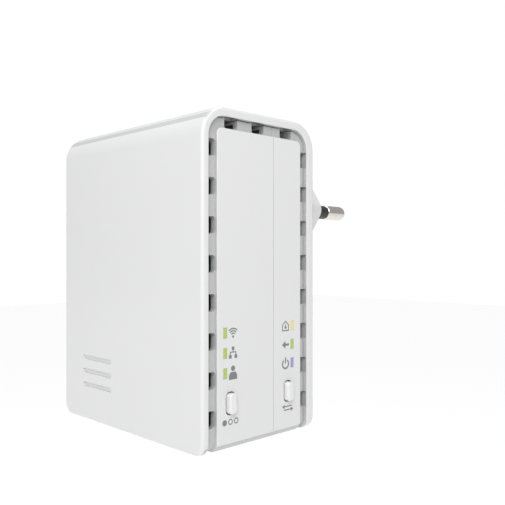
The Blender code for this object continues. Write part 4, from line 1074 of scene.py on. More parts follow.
@dataclass
class PlugModule:
    """The nose that enters the wall socket, with its flange, pins and insulating sleeves.

    Args:
        layout: Where the case lies.
        clearance: Gap between the plug and its seat in the sleeve.
        side_slope: Taper of the nose's sides, as a share of its half height.
        corner: Radius of the long edges of the nose.
        flange: How far the flange stands out round the nose.
        flange_thickness: Thickness of the flange.
        draft: How much each side of the nose narrows towards its end.
        end_radius: Radius of the nose's end edge.
        pin_radius: Radius of a pin.
        core_radius: Radius of a pin where its insulation lies.
        pin_spacing: Distance between the pins at the nose's end.
        tip_spacing: Distance between the pins' tips.
        pin_length: Length of a pin past the nose.
        sleeve_length: Length of the insulation past the nose.
        sleeve_root: Length of the insulation inside the nose.
        sleeve_share: Radius of the insulation, as a share of the pin's.
        seat_gap: How far the flange lies below the sleeve's rear face.
        flange_fillet: Radius of the flange's outer edge.
        ease: Size of the eased edges on the pins.
        past: How far a cutter runs past what it cuts.
        round_steps: Segments round a pin.
        corner_steps: Segments of a round corner of the nose.
        end_steps: Segments of the nose's end edge.
        flange_steps: Segments of the flange's outer edge.
        tip_steps: Segments of a pin's round tip.
    """

    layout: Layout
    clearance: float = 0.0003
    side_slope: float = 0.62
    corner: float = 0.0018
    flange: float = 0.0020
    flange_thickness: float = 0.0011
    draft: float = 0.0002
    end_radius: float = 0.0006
    pin_radius: float = 0.0020
    core_radius: float = 0.0011
    pin_spacing: float = 0.0186
    tip_spacing: float = 0.0175
    pin_length: float = 0.0190
    sleeve_length: float = 0.0100
    sleeve_root: float = 0.0020
    sleeve_share: float = 0.95
    seat_gap: float = 0.0001
    flange_fillet: float = 0.0003
    ease: float = 0.0002
    past: float = 0.0020
    round_steps: int = 48
    corner_steps: int = 5
    end_steps: int = 5
    flange_steps: int = 3
    tip_steps: int = 12

    def __post_init__(self) -> None:
        """Reads the nose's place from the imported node."""
        low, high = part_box("plug_nose")
        self.neck_end = low.y
        self.nose_end = high.y
        self.half_width = (high.x - low.x) / 2 - self.flange
        self.half_height = (high.z - low.z) / 2 - self.flange
        self.centre = Vector(((low.x + high.x) / 2, high.y, (low.z + high.z) / 2))

    @property
    def flange_face(self) -> float:
        """The flange's face, towards the case."""
        return self.flange_back - self.flange_thickness

    @property
    def flange_back(self) -> float:
        """The flange's outer face."""
        return self.layout.high.y - self.seat_gap

    def outline(self, shape: Shape, grow: float, start: float) -> bmesh.types.BMFace:
        """Adds the flattened hexagon of the nose as one face with round corners.

        Args:
            shape: The shape to add to.
            grow: How far the outline lies outside the nose.
            start: The face's place along Y.

        Returns:
            The face.
        """
        wide, tall = self.half_width + grow, self.half_height + grow
        taper = self.side_slope * tall
        corners = [
            (taper - wide, -tall), (wide - taper, -tall), (wide, 0.0),
            (wide - taper, tall), (taper - wide, tall), (-wide, 0.0),
        ]
        middle = self.centre.z
        face = shape.bm.faces.new([shape.bm.verts.new((x, start, middle + z)) for x, z in corners])
        bmesh.ops.bevel(
            shape.bm, geom=list(face.verts), offset=self.corner, segments=self.corner_steps,
            profile=0.5, affect="VERTICES", material=-1,
        )
        return max(shape.bm.faces, key=lambda item: len(item.verts))

    def bar(self, name: str, grow: float, start: float, end: float) -> bpy.types.Object:
        """Makes one straight bar of the nose's outline.

        Args:
            name: The object's name.
            grow: How far it stands outside the nose.
            start: Its first end.
            end: Its last end.

        Returns:
            The bar.
        """
        shape = Shape()
        face = self.outline(shape, grow, start)
        shape.push([face], (0.0, end - start, 0.0))
        return shape.finish(name)

    def seat_cutters(self) -> list[bpy.types.Object]:
        """Builds the cutters of the plug's opening and of its flange's seat in the sleeve.

        Returns:
            The two cutters.
        """
        end = self.layout.high.y + self.past
        gap = self.clearance
        opening = self.bar("plug_opening_cutter", gap, self.neck_end - self.past, end)
        seat = self.bar("plug_seat_cutter", self.flange + gap, self.flange_face - gap, end)
        return [opening, seat]

    def housing_cutter(self) -> bpy.types.Object:
        """Builds the cutter of the neck's opening in the rear half of the case."""
        start = self.neck_end - self.past
        return self.bar("plug_neck_cutter", self.clearance, start, self.layout.high.y)

    def make(self) -> None:
        """Builds and dresses the nose, the pins and the insulating sleeves."""
        self.make_nose()
        for name, side in (("neutral", -1), ("live", 1)):
            self.make_pin(name, side)

    def make_nose(self) -> None:
        """Moulds the nose with its flange and bores it for the pins."""
        shape = Shape()
        face = self.outline(shape, 0.0, self.flange_back)
        grown = shape.push([face], (0.0, self.nose_end - self.flange_back, 0.0))
        width_share = 1.0 - self.draft / self.half_width
        height_share = 1.0 - self.draft / self.half_height
        shape.scale_about(grown, self.centre, (width_share, 1.0, height_share))
        last = self.nose_end - self.end_radius / 2
        shape.bevel_where(self.end_radius, self.end_steps, lambda edge: middle_of(edge).y > last)
        nose = shape.finish("plug_nose_moulding")
        neck = self.bar("neck_tool", 0.0, self.neck_end, self.flange_back + self.ease)
        flange = Shape()
        flange_outline = self.outline(flange, self.flange, self.flange_face)
        flange.push([flange_outline], (0.0, self.flange_thickness, 0.0))
        back = self.flange_back - self.flange_thickness / 2
        flange.bevel_where(self.flange_fillet, self.flange_steps, lambda edge: middle_of(edge).y > back)
        boolean(nose, "UNION", [neck, flange.finish("flange_tool")])
        boolean(nose, "DIFFERENCE", [self.pin_bore(side) for side in (-1, 1)])
        even_out_shading(nose)
        stand_in(nose, "plug_nose", "case", WHITE_PLUG)

    def pin_axis(self, side: int) -> Matrix:
        """Places a pin's own frame at the nose's end, leaning towards the other pin.

        Args:
            side: -1 or 1.

        Returns:
            The pin's frame.
        """
        tilt = math.atan2((self.pin_spacing - self.tip_spacing) / 2, self.pin_length)
        foot = self.centre + Vector((side * self.pin_spacing / 2, 0.0, 0.0))
        return Matrix.Translation(foot) @ Matrix.Rotation(side * tilt, 4, "Z")

    def pin_bore(self, side: int) -> bpy.types.Object:
        """Builds the cutter of one pin's bore in the nose.

        Args:
            side: -1 or 1.

        Returns:
            The cutter.
        """
        shape = Shape()
        radius = self.pin_radius + self.clearance
        start, end = self.neck_end - self.nose_end - self.past, self.past
        shape.turned([(start, 0.0), (start, radius), (end, radius), (end, 0.0)], self.round_steps)
        shape.place(self.pin_axis(side))
        return shape.finish(f"pin_bore_cutter_{side}")

    def make_pin(self, name: str, side: int) -> None:
        """Turns a pin and its insulating sleeve.

        Args:
            name: live or neutral.
            side: -1 or 1.
        """
        radius, core = self.pin_radius, self.core_radius
        root = self.neck_end - self.nose_end - 3 * self.clearance
        collar = -self.sleeve_root - self.clearance
        shoulder = self.sleeve_length + self.clearance
        profile = [
            (root, 0.0), (root, core), (root + 2 * radius, core), (root + 2 * radius, radius),
            (collar, radius), (collar, core), (shoulder, core), (shoulder, radius - self.ease),
            (shoulder + self.ease, radius),
        ]
        tip = self.pin_length - radius
        for step in range(self.tip_steps + 1):
            angle = math.radians(90 * step / self.tip_steps)
            profile.append((tip + radius * math.sin(angle), radius * math.cos(angle)))
        pin = Shape()
        pin.turned(profile, self.round_steps)
        pin.place(self.pin_axis(side))
        piece = pin.finish(f"pin_{name}")
        stand_in(piece, f"plug_pin_{name}", "case", NICKEL)
        self.make_pin_sleeve(name, side)

    def make_pin_sleeve(self, name: str, side: int) -> None:
        """Turns the insulating sleeve of a pin, with eased ends.

        Args:
            name: live or neutral.
            side: -1 or 1.
        """
        outer = self.pin_radius * self.sleeve_share
        inner = self.core_radius + self.clearance / 2
        ease = self.clearance / 2
        root, end = -self.sleeve_root, self.sleeve_length
        profile = [
            (root, inner), (root, outer), (end - ease, outer), (end, outer - ease), (end, inner),
            (root, inner),
        ]
        shape = Shape()
        shape.turned(profile, self.round_steps)
        shape.place(self.pin_axis(side))
        piece = shape.finish(f"pin_sleeving_{name}")
        stand_in(piece, f"pin_insulation_{name}", "case", BLACK_SLEEVING)


# ---------------------------------------------------------------- inner case


@dataclass
class InnerCase:
    """The front and rear halves of the inner case, with their vents, windows and button holes.

    Args:
        layout: Where the case lies.
        plug: The plug, whose neck passes through the rear half.
        sleeve: The sleeve that wraps round the case.
        sleeve_gap: Gap to the sleeve.
        wall: Thickness of the walls.
        vent_wall: Thickness left behind the vents.
        vent_roof: Thickness left over the roof's vents.
        vent_depth: Depth of the thinned roof across the case.
        corner: Radius of the upper bends.
        foot: Radius of the lower corners.
        channel_depth: Depth of the channel round the raised band.
        panel_margin: Width of the channel in front of the band.
        panel_margin_rear: Width of the channel behind it.
        panel_top_margin: Height of the channel over it.
        panel_corner: Radius of the band's upper corners.
        panel_foot: Radius of its lower corners.
        panel_fillet: Radius of its edges.
        slot_pitch: Distance between the slots of a column.
        slot_length: Length of a slot in a column.
        slot_first: Height of the lowest slot's middle.
        slot_count: Slots in a column.
        slot_past: How far a slot runs out over the case's corner.
        slot_edge: Ledge between a slot and the band.
        slot_corner: Radius of a slot's corners.
        slot_reach: How far a slot runs into the case.
        top_slot_pitch: Distance between the slots over the band.
        top_slot_length: Length of a slot over the band.
        seam_half_gap: Half the seam's width.
        boss_wall: Thickness of a screw boss.
        window_width: Width of a window.
        window_height: Height of a window.
        button_gap: Gap round a button, and between pieces that pass each other.
        button_lip: How far a button's lip stands out round its cap.
        button_corner: Radius of a button's corners.
        lip: Thickness of the lip at the seam.
        lip_reach: How far the lip reaches past the seam.
        past: How far a cutter runs past what it cuts.
        bend_steps: Segments of an upper bend's outside.
        inner_bend_steps: Segments of its inside.
        foot_steps: Segments of a lower corner.
        panel_steps: Segments of the band's upper corner.
        panel_foot_steps: Segments of its lower corner.
        fillet_steps: Segments of its edges.
        slot_steps: Segments of a slot's corner.
        screw_steps: Segments round a screw's boss and hole.
        button_steps: Segments of a button hole's corner.
    """

    layout: Layout
    plug: PlugModule
    sleeve: Sleeve
    sleeve_gap: float = 0.00025
    wall: float = 0.0017
    vent_wall: float = 0.0014
    vent_roof: float = 0.0006
    vent_depth: float = 0.0140
    corner: float = 0.00395
    foot: float = 0.0019
    channel_depth: float = 0.0007
    panel_margin: float = 0.0024
    panel_margin_rear: float = 0.00155
    panel_top_margin: float = 0.00215
    panel_corner: float = 0.0014
    panel_foot: float = 0.0026
    panel_fillet: float = 0.00025
    slot_pitch: float = 0.00814
    slot_length: float = 0.00365
    slot_first: float = 0.00735
    slot_count: int = 8
    slot_past: float = 0.0004
    slot_edge: float = 0.00002
    slot_corner: float = 0.0007
    slot_reach: float = 0.0030
    top_slot_pitch: float = 0.0081
    top_slot_length: float = 0.0038
    seam_half_gap: float = 0.00004
    boss_wall: float = 0.0012
    window_width: float = 0.0011
    window_height: float = 0.0023
    button_gap: float = 0.0003
    button_lip: float = 0.0008
    button_corner: float = 0.0008
    lip: float = 0.0007
    lip_reach: float = 0.0012
    past: float = 0.0020
    bend_steps: int = 16
    inner_bend_steps: int = 8
    foot_steps: int = 10
    panel_steps: int = 10
    panel_foot_steps: int = 12
    fillet_steps: int = 4
    slot_steps: int = 6
    screw_steps: int = 32
    button_steps: int = 8

    def __post_init__(self) -> None:
        """Works out the case's faces from the layout."""
        self.front = self.layout.housing_front
        self.rear = self.layout.housing_rear
        self.top = self.sleeve.inner_roof - self.sleeve_gap
        self.base = self.layout.low.z
        self.panel_x = self.layout.panel_x
        self.floor_x = self.panel_x - self.channel_depth
        self.floor_z = self.base + self.channel_depth
        self.panel_front = self.front + self.panel_margin
        self.panel_rear = self.rear - self.panel_margin_rear
        self.panel_top = self.top - self.panel_top_margin
        self.inner_x = self.floor_x - self.wall
        self.inner_front = self.front + self.wall
        self.inner_rear = self.rear - self.wall
        self.inner_floor = self.floor_z + self.wall
        self.inner_top = self.top - self.wall

    def solid(self, name: str) -> bpy.types.Object:
        """Builds the closed outer form up to the channel's floor.

        Args:
            name: The object's name.

        Returns:
            The outer form.
        """
        shape = Shape()
        shape.block((-self.floor_x, self.front, self.floor_z), (self.floor_x, self.rear, self.top))
        shape.round_roof(self.corner, self.bend_steps)
        shape.round_feet(self.foot, self.foot_steps)
        return shape.finish(name)

    def panel(self) -> bpy.types.Object:
        """Builds the raised band: a panel on each side, joined under the case.

        Returns:
            The band.
        """
        shape = Shape()
        low = (-self.panel_x, self.panel_front, self.base)
        shape.block(low, (self.panel_x, self.panel_rear, self.panel_top))
        shape.round_roof(self.panel_corner, self.panel_steps)
        shape.round_feet(self.panel_foot, self.panel_foot_steps)
        shape.bevel_where(self.panel_fillet, self.fillet_steps)
        return shape.finish("panel_tool")

    def cavity(self) -> bpy.types.Object:
        """Builds the space inside the walls.

        Returns:
            The cutter.
        """
        shape = Shape()
        low = (-self.inner_x, self.inner_front, self.inner_floor)
        shape.block(low, (self.inner_x, self.inner_rear, self.inner_top))
        shape.round_roof(self.corner - self.wall, self.inner_bend_steps)
        return shape.finish("cavity_tool")

    def vent_relief(self) -> bpy.types.Object:
        """Builds the pockets that thin the walls behind the vents.

        Returns:
            The cutter.
        """
        shape = Shape()
        reach = self.floor_x - self.vent_wall
        front, rear = self.front + self.vent_wall, self.rear - self.vent_wall
        low_z = self.base + self.slot_first - self.slot_length
        shoulder = self.top - self.vent_wall - self.corner
        roof = self.panel_top - self.past
        for side in (-1, 1):
            inner, outer = sorted((side * (self.inner_x - self.past), side * reach))
            shape.block((inner, front, low_z), (outer, self.panel_front + self.wall, shoulder))
            shape.block((inner, self.panel_rear - self.wall, low_z), (outer, rear, shoulder))
            inner, outer = sorted((side * (self.inner_x - self.vent_depth), side * reach))
            shape.block(
                (inner, self.inner_front + self.corner, roof),
                (outer, self.inner_rear - self.corner, self.top - self.vent_roof),
            )
        return shape.finish("vent_relief_tool")

    def column_heights(self) -> list[tuple[float, float]]:
        """Lists the slots of a column.

        Returns:
            The lowest and highest point of each slot.
        """
        first = self.base + self.slot_first - self.slot_length / 2
        starts = [first + index * self.slot_pitch for index in range(self.slot_count)]
        return [(start, start + self.slot_length) for start in starts]

    def top_places(self) -> list[tuple[float, float]]:
        """Lists the slots over the panel: two before the seam and one behind it.

        Returns:
            The first and last point of each slot along Y.
        """
        before = (self.panel_front + self.layout.seam) / 2
        behind = (self.layout.seam + self.panel_rear) / 2
        half, step = self.top_slot_length / 2, self.top_slot_pitch / 2
        return [(middle - half, middle + half) for middle in (before - step, before + step, behind)]

    def slots(self) -> bpy.types.Object:
        """Builds every vent slot's cutter; each runs out over the case's corner, under the sleeve.

        Returns:
            The cutters as one object.
        """
        shape = Shape()
        before, behind = self.panel_front - self.slot_edge, self.panel_rear + self.slot_edge
        spans = []
        for low_z, high_z in self.column_heights():
            spans.append((self.front - self.slot_past, low_z, before, high_z))
            spans.append((behind, low_z, self.rear + self.slot_past, high_z))
        for low_y, high_y in self.top_places():
            spans.append((low_y, self.panel_top + self.slot_edge, high_y, self.top + self.slot_past))
        ends = self.inner_x - self.slot_reach, self.floor_x + self.past
        for near, low_z, far, high_z in spans:
            for side in (-1, 1):
                inner, outer = sorted(side * end for end in ends)
                low, high = (inner, near, low_z), (outer, far, high_z)
                shape.rounded_bar(low, high, Axis.X, self.slot_corner, self.slot_steps)
        return shape.finish("slot_tool")

    def screw_bars(self, name: str, radius: float, start: float, end: float) -> bpy.types.Object:
        """Builds the same round bar at each screw, for bosses, holes and recesses.

        Args:
            name: The object's name.
            radius: The bars' radius.
            start: Their first end.
            end: Their last end.

        Returns:
            The bars as one object.
        """
        shape = Shape()
        profile = [(start, 0.0), (start, radius), (end, radius), (end, 0.0)]
        for where in SCREWS:
            middle = node_middle(f"housing_screw_{where}")
            shape.turned_at(profile, self.screw_steps, Matrix.Translation((middle.x, 0.0, middle.z)))
        return shape.finish(name)

    def windows(self, side: Side) -> bpy.types.Object:
        """Builds the window cutters of one half.

        Args:
            side: The half.

        Returns:
            The cutters as one object.
        """
        shape = Shape()
        reach_y, reach_z = self.window_width / 2, self.window_height / 2
        for name in LAMPS[side]:
            middle = node_middle(f"led_{name}")
            shape.block(
                (self.inner_x - self.past, middle.y - reach_y, middle.z - reach_z),
                (self.panel_x + self.past, middle.y + reach_y, middle.z + reach_z),
            )
        return shape.finish(f"{side.value}_window_tool")

    def button_hole(self, side: Side) -> bpy.types.Object:
        """Builds the cutter of one half's button hole.

        Args:
            side: The half.

        Returns:
            The cutter.
        """
        low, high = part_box(f"{BUTTONS[side]}_button")
        shrink = self.button_lip - self.button_gap
        shape = Shape()
        shape.rounded_bar(
            (self.inner_x - self.past, low.y + shrink, low.z + shrink),
            (self.panel_x + self.past, high.y - shrink, high.z - shrink),
            Axis.X, self.button_corner + self.button_gap, self.button_steps,
        )
        return shape.finish(f"{side.value}_button_hole_tool")

    def jack_hole(self) -> bpy.types.Object:
        """Builds the cutter of the opening for the network jack's mouth.

        Returns:
            The cutter.
        """
        low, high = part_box("network_jack")
        gap = Vector((self.button_gap, self.button_gap, 0.0))
        shape = Shape()
        low, high = low - gap, high + gap
        shape.block((low.x, low.y, self.base - self.past), (high.x, high.y, self.inner_floor + self.past))
        return shape.finish("jack_hole_tool")

    def seam_slab(self, start: float, end: float) -> bpy.types.Object:
        """Builds a slab that trims a half back to its side of the seam.

        Args:
            start: The slab's first end along Y.
            end: Its last end.

        Returns:
            The slab.
        """
        reach = 2 * self.panel_x
        shape = Shape()
        shape.block((-reach, start, self.base - reach), (reach, end, self.top + reach))
        return shape.finish("seam_tool")

    def ring(self, name: str, outer: float, inner: float, reach: float) -> bpy.types.Object:
        """Builds a ring in the wall at the seam, for the lip or for its rebate.

        Args:
            name: The object's name.
            outer: How far the ring's outside lies from the cavity.
            inner: How far its inside lies from the cavity.
            reach: How far it reaches past the seam.

        Returns:
            The ring.
        """
        start = self.layout.seam - self.wall
        end = self.layout.seam + reach
        ring = Shape()
        ring.block(
            (-self.inner_x - outer, start, self.inner_floor - outer),
            (self.inner_x + outer, end, self.inner_top + outer),
        )
        piece = ring.finish(name)
        hole = Shape()
        hole.block(
            (-self.inner_x - inner, start - self.past, self.inner_floor - inner),
            (self.inner_x + inner, end + self.past, self.inner_top + inner),
        )
        boolean(piece, "DIFFERENCE", [hole.finish("ring_hole_tool")])
        return piece

    def shell(
        self, name: str, boss_radius: float, boss_start: float, boss_end: float
    ) -> bpy.types.Object:
        """Builds the hollow case with its raised band and its screw bosses.

        Args:
            name: The object's name.
            boss_radius: Radius of the screw bosses.
            boss_start: Their first end.
            boss_end: Their last end.

        Returns:
            The case, not yet trimmed to one half.
        """
        half = self.solid(name)
        boolean(half, "UNION", [self.panel()])
        boolean(half, "DIFFERENCE", [self.cavity(), self.vent_relief()])
        boolean(half, "UNION", [self.screw_bars("boss_tool", boss_radius, boss_start, boss_end)])
        return half

    def dress_half(self, half: bpy.types.Object, side: Side) -> None:
        """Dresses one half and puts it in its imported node's place.

        Args:
            half: The half.
            side: Which half it is.
        """
        even_out_shading(half)
        stand_in(half, f"{side.value}_housing", "case", WHITE_CASE)
        # Painted shade on the channel, the slot walls and the inside of the half.
        paint_recess_shade(half, self.is_recessed)

    def make_front(self) -> None:
        """Builds and dresses the front half."""
        gap = self.button_gap
        screw_low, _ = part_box("housing_screw_upper_left")
        hole = SCREW_SHANK + gap
        boss_start, boss_end = self.inner_front - self.wall / 2, self.layout.seam + self.wall
        half = self.shell("front_case_half", hole + self.boss_wall, boss_start, boss_end)
        boolean(half, "DIFFERENCE", [
            self.slots(),
            self.screw_bars("screw_hole_tool", hole, screw_low.y - gap, self.rear + self.past),
            self.windows(Side.FRONT),
            self.button_hole(Side.FRONT),
            self.jack_hole(),
            self.seam_slab(self.layout.seam - self.seam_half_gap, self.rear + self.wall),
        ])
        boolean(half, "UNION", [self.ring("seam_lip_tool", self.lip, 0.0, self.lip_reach)])
        self.dress_half(half, Side.FRONT)

    def make_rear(self) -> None:
        """Builds and dresses the rear half."""
        gap = self.button_gap
        screw_low, screw_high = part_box("housing_screw_upper_left")
        hole = SCREW_SHANK + gap
        recess = (screw_high.x - screw_low.x) / 2 + gap
        head = screw_high.y - SCREW_HEAD_HEIGHT - gap
        boss_start, boss_end = self.layout.seam - self.wall, self.inner_rear + self.wall / 2
        half = self.shell("rear_case_half", recess + self.boss_wall / 2, boss_start, boss_end)
        boolean(half, "DIFFERENCE", [
            self.ring("seam_rebate_tool", self.lip + gap, -gap, self.lip_reach + gap),
            self.slots(),
            self.screw_bars("screw_hole_tool", hole, screw_low.y - gap, self.rear + self.past),
            self.screw_bars("screw_recess_tool", recess, head, self.rear + self.past),
            self.plug.housing_cutter(),
            self.windows(Side.REAR),
            self.button_hole(Side.REAR),
            self.seam_slab(self.front - self.wall, self.layout.seam + self.seam_half_gap),
        ])
        self.dress_half(half, Side.REAR)

    def is_recessed(self, point: Vector) -> bool:
        """Tells whether a face's middle lies below the raised band, where painted shade goes."""
        ledge = self.panel_fillet
        return abs(point.x) < self.panel_x - ledge and point.z > self.base + ledge

    def make(self) -> None:
        """Builds both halves."""
        self.make_front()
        self.make_rear()


# ---------------------------------------------------------------- indicators, buttons and print


@dataclass
class LightColumn:
    """A clear moulding with a prong for each window of one column.

    Args:
        side: The half that it sits in.
        case: The inner case, which knows its windows.
        clearance: Gap round a prong in its window.
        recess: How far a prong's face lies below the panel.
        root: How far a prong starts inside the bar.
        bar_ease: Radius of the bar's long edges.
        prong_ease: Radius of a prong's long edges.
        ease_steps: Segments of both.
    """

    side: Side
    case: InnerCase
    clearance: float = 0.00003
    recess: float = 0.00003
    root: float = 0.0002
    bar_ease: float = 0.0001
    prong_ease: float = 0.00008
    ease_steps: int = 2

    def make(self) -> None:
        """Builds the bar and its prongs and gives each window its lamp's colour."""
        low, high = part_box(f"light_guide_{self.side.value}")
        case = self.case
        bar_face = case.inner_x - case.button_gap
        shape = Shape()
        shape.rounded_bar(low, (bar_face, high.y, high.z), Axis.Y, self.bar_ease, self.ease_steps)
        guide = shape.finish(f"light_pipe_{self.side.value}")
        prongs = []
        reach_y = case.window_width / 2 - self.clearance
        reach_z = case.window_height / 2 - self.clearance
        for name in LAMPS[self.side]:
            middle = node_middle(f"led_{name}")
            prong = Shape()
            prong.rounded_bar(
                (bar_face - self.root, middle.y - reach_y, middle.z - reach_z),
                (case.panel_x - self.recess, middle.y + reach_y, middle.z + reach_z),
                Axis.X, self.prong_ease, self.ease_steps,
            )
            prongs.append(prong.finish(f"prong_{name}"))
        boolean(guide, "UNION", prongs)
        lowest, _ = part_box(f"led_{LAMPS[self.side][0]}")
        _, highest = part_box(f"led_{LAMPS[self.side][-1]}")
        half_gap = (LAMP_PITCH - case.window_height) / 2
        finish = LitWindows(
            f"lit_windows_{self.side.value}",
            lowest.z - half_gap,
            highest.z + half_gap,
            GLOWS[self.side],
        )
        stand_in(guide, f"light_guide_{self.side.value}", "case", finish)


@dataclass
class PushButton:
    """A sliding key: a round-cornered crowned cap, a lip that keeps it in, and a post.

    Args:
        side: The half that it slides in.
        case: The inner case.
        lip_thickness: Thickness of the lip.
        crown_radius: Radius of the cap's outer edge.
        post_width: Width of the post.
        post_height: Height of the post.
        post_corner: Radius of the post's corners.
        cap_steps: Segments of the cap's corners.
        edge_steps: Segments of the cap's outer edge and of the lip's corners.
        post_steps: Segments of the post's corners.
    """

    side: Side
    case: InnerCase
    lip_thickness: float = 0.0006
    crown_radius: float = 0.00045
    post_width: float = 0.0016
    post_height: float = 0.0024
    post_corner: float = 0.00027
    cap_steps: int = 10
    edge_steps: int = 6
    post_steps: int = 3

    def make(self) -> None:
        """Builds and dresses the key."""
        name = BUTTONS[self.side]
        low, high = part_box(f"{name}_button")
        case = self.case
        lip_back = case.inner_x - case.button_gap
        lip_front = lip_back - self.lip_thickness
        cap = Shape()
        inset = case.button_lip
        cap.rounded_bar(
            (lip_front, low.y + inset, low.z + inset), (high.x, high.y - inset, high.z - inset),
            Axis.X, case.button_corner, self.cap_steps,
        )
        rim = high.x - END_BAND
        cap.bevel_where(self.crown_radius, self.edge_steps, lambda edge: middle_of(edge).x > rim)
        key = cap.finish(f"{name}_key")
        lip = Shape()
        lip.rounded_bar(
            (lip_front, low.y, low.z), (lip_back, high.y, high.z),
            Axis.X, case.button_corner, self.edge_steps,
        )
        middle = (low + high) / 2
        reach_y, reach_z = self.post_width / 2, self.post_height / 2
        post = Shape()
        post.rounded_bar(
            (low.x, middle.y - reach_y, middle.z - reach_z),
            (lip_front + self.lip_thickness / 2, middle.y + reach_y, middle.z + reach_z),
            Axis.X, self.post_corner, self.post_steps,
        )
        boolean(key, "UNION", [lip.finish("key_lip_tool"), post.finish("key_post_tool")])
        even_out_shading(key)
        stand_in(key, f"{name}_button", f"{name}_key", WHITE_BUTTON)


class Glyph:
    """A flat printed mark on the panel, drawn from simple closed shapes.

    The first coordinate runs to the viewer's right and the second one up, both from the mark's middle.
    """

    def __init__(self, name: str, case: InnerCase, middle_y: float, middle_z: float, size: float) -> None:
        """Starts a mark.

        Args:
            name: The piece's name.
            case: The inner case, which carries the mark.
            middle_y: The mark's middle along Y.
            middle_z: The mark's middle along Z.
            size: The length of one drawing unit.
        """
        self.name = name
        self.case = case
        self.middle_y = middle_y
        self.middle_z = middle_z
        self.size = size
        self.parts: list[bpy.types.Object] = []

    def raise_up(self, shape: Shape) -> None:
        """Gives a flat shape the ink's thickness and puts it on the panel.

        Args:
            shape: The flat shape, drawn with the first coordinate as X and the second as Y.
        """
        shape.push(list(shape.bm.faces), (0.0, 0.0, 1.0))
        turn = Matrix(((0, 0, 1, 0), (1, 0, 0, 0), (0, 1, 0, 0), (0, 0, 0, 1)))
        sunk = self.case.panel_x - INK_SINK
        place = Matrix.Translation((sunk, self.middle_y, self.middle_z))
        spread = Matrix.Diagonal((INK_THICKNESS + INK_SINK, self.size, self.size, 1.0))
        shape.place(place @ spread @ turn)
        self.parts.append(shape.finish(f"{self.name}_part_{len(self.parts)}"))

    def disc(self, middle: Sequence[float], radius: float, steps: int = 32) -> None:
        """Draws a full disc.

        Args:
            middle: The disc's centre.
            radius: Its radius.
            steps: Segments round it.
        """
        shape = Shape()
        place = Matrix.Translation((*middle, 0.0))
        bmesh.ops.create_circle(shape.bm, cap_ends=True, radius=radius, segments=steps, matrix=place)
        self.raise_up(shape)

    def arc(
        self, middle: Sequence[float], radius: float, width: float, start: float, end: float, steps: int = 24
    ) -> None:
        """Draws a band along an arc.

        Args:
            middle: The arc's centre.
            radius: Radius of the band's middle.
            width: The band's width.
            start: First angle in degrees, anticlockwise from the right.
            end: Last angle in degrees.
            steps: Segments of the arc.
        """
        shape = Shape()
        centre = Vector((*middle, 0.0))
        first = math.radians(start)
        direction = Vector((math.cos(first), math.sin(first), 0.0))
        ends = (radius - width / 2, radius + width / 2)
        verts = [shape.bm.verts.new(centre + direction * end) for end in ends]
        edge = shape.bm.edges.new(verts)
        bmesh.ops.spin(
            shape.bm, geom=[*verts, edge], cent=centre, axis=Vector((0.0, 0.0, 1.0)),
            angle=math.radians(end - start), steps=steps, use_merge=abs(end - start) >= 360.0,
        )
        bmesh.ops.remove_doubles(shape.bm, verts=shape.bm.verts, dist=SLACK)
        self.raise_up(shape)

    def polygon(self, *corners: Sequence[float]) -> None:
        """Draws a filled outline.

        Args:
            corners: The outline's corners, in order.
        """
        shape = Shape()
        shape.bm.faces.new([shape.bm.verts.new((*corner, 0.0)) for corner in corners])
        self.raise_up(shape)

    def stroke(self, start: Sequence[float], end: Sequence[float], width: float) -> None:
        """Draws a straight line.

        Args:
            start: The line's first end.
            end: Its last end.
            width: Its width.
        """
        first, last = Vector(start), Vector(end)
        side = (last - first).normalized().orthogonal() * width / 2
        self.polygon(first + side, first - side, last - side, last + side)

    def make(self) -> None:
        """Joins the parts into one printed piece."""
        mark, others = self.parts[0], self.parts[1:]
        mark.name = self.name
        mark.data.name = self.name
        if others:
            boolean(mark, "UNION", others)
        mark.data.shade_flat()
        dress(mark, GREY_INK)
        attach(mark, "case")
        LOG.info("%s is printed on the panel", mark.name)


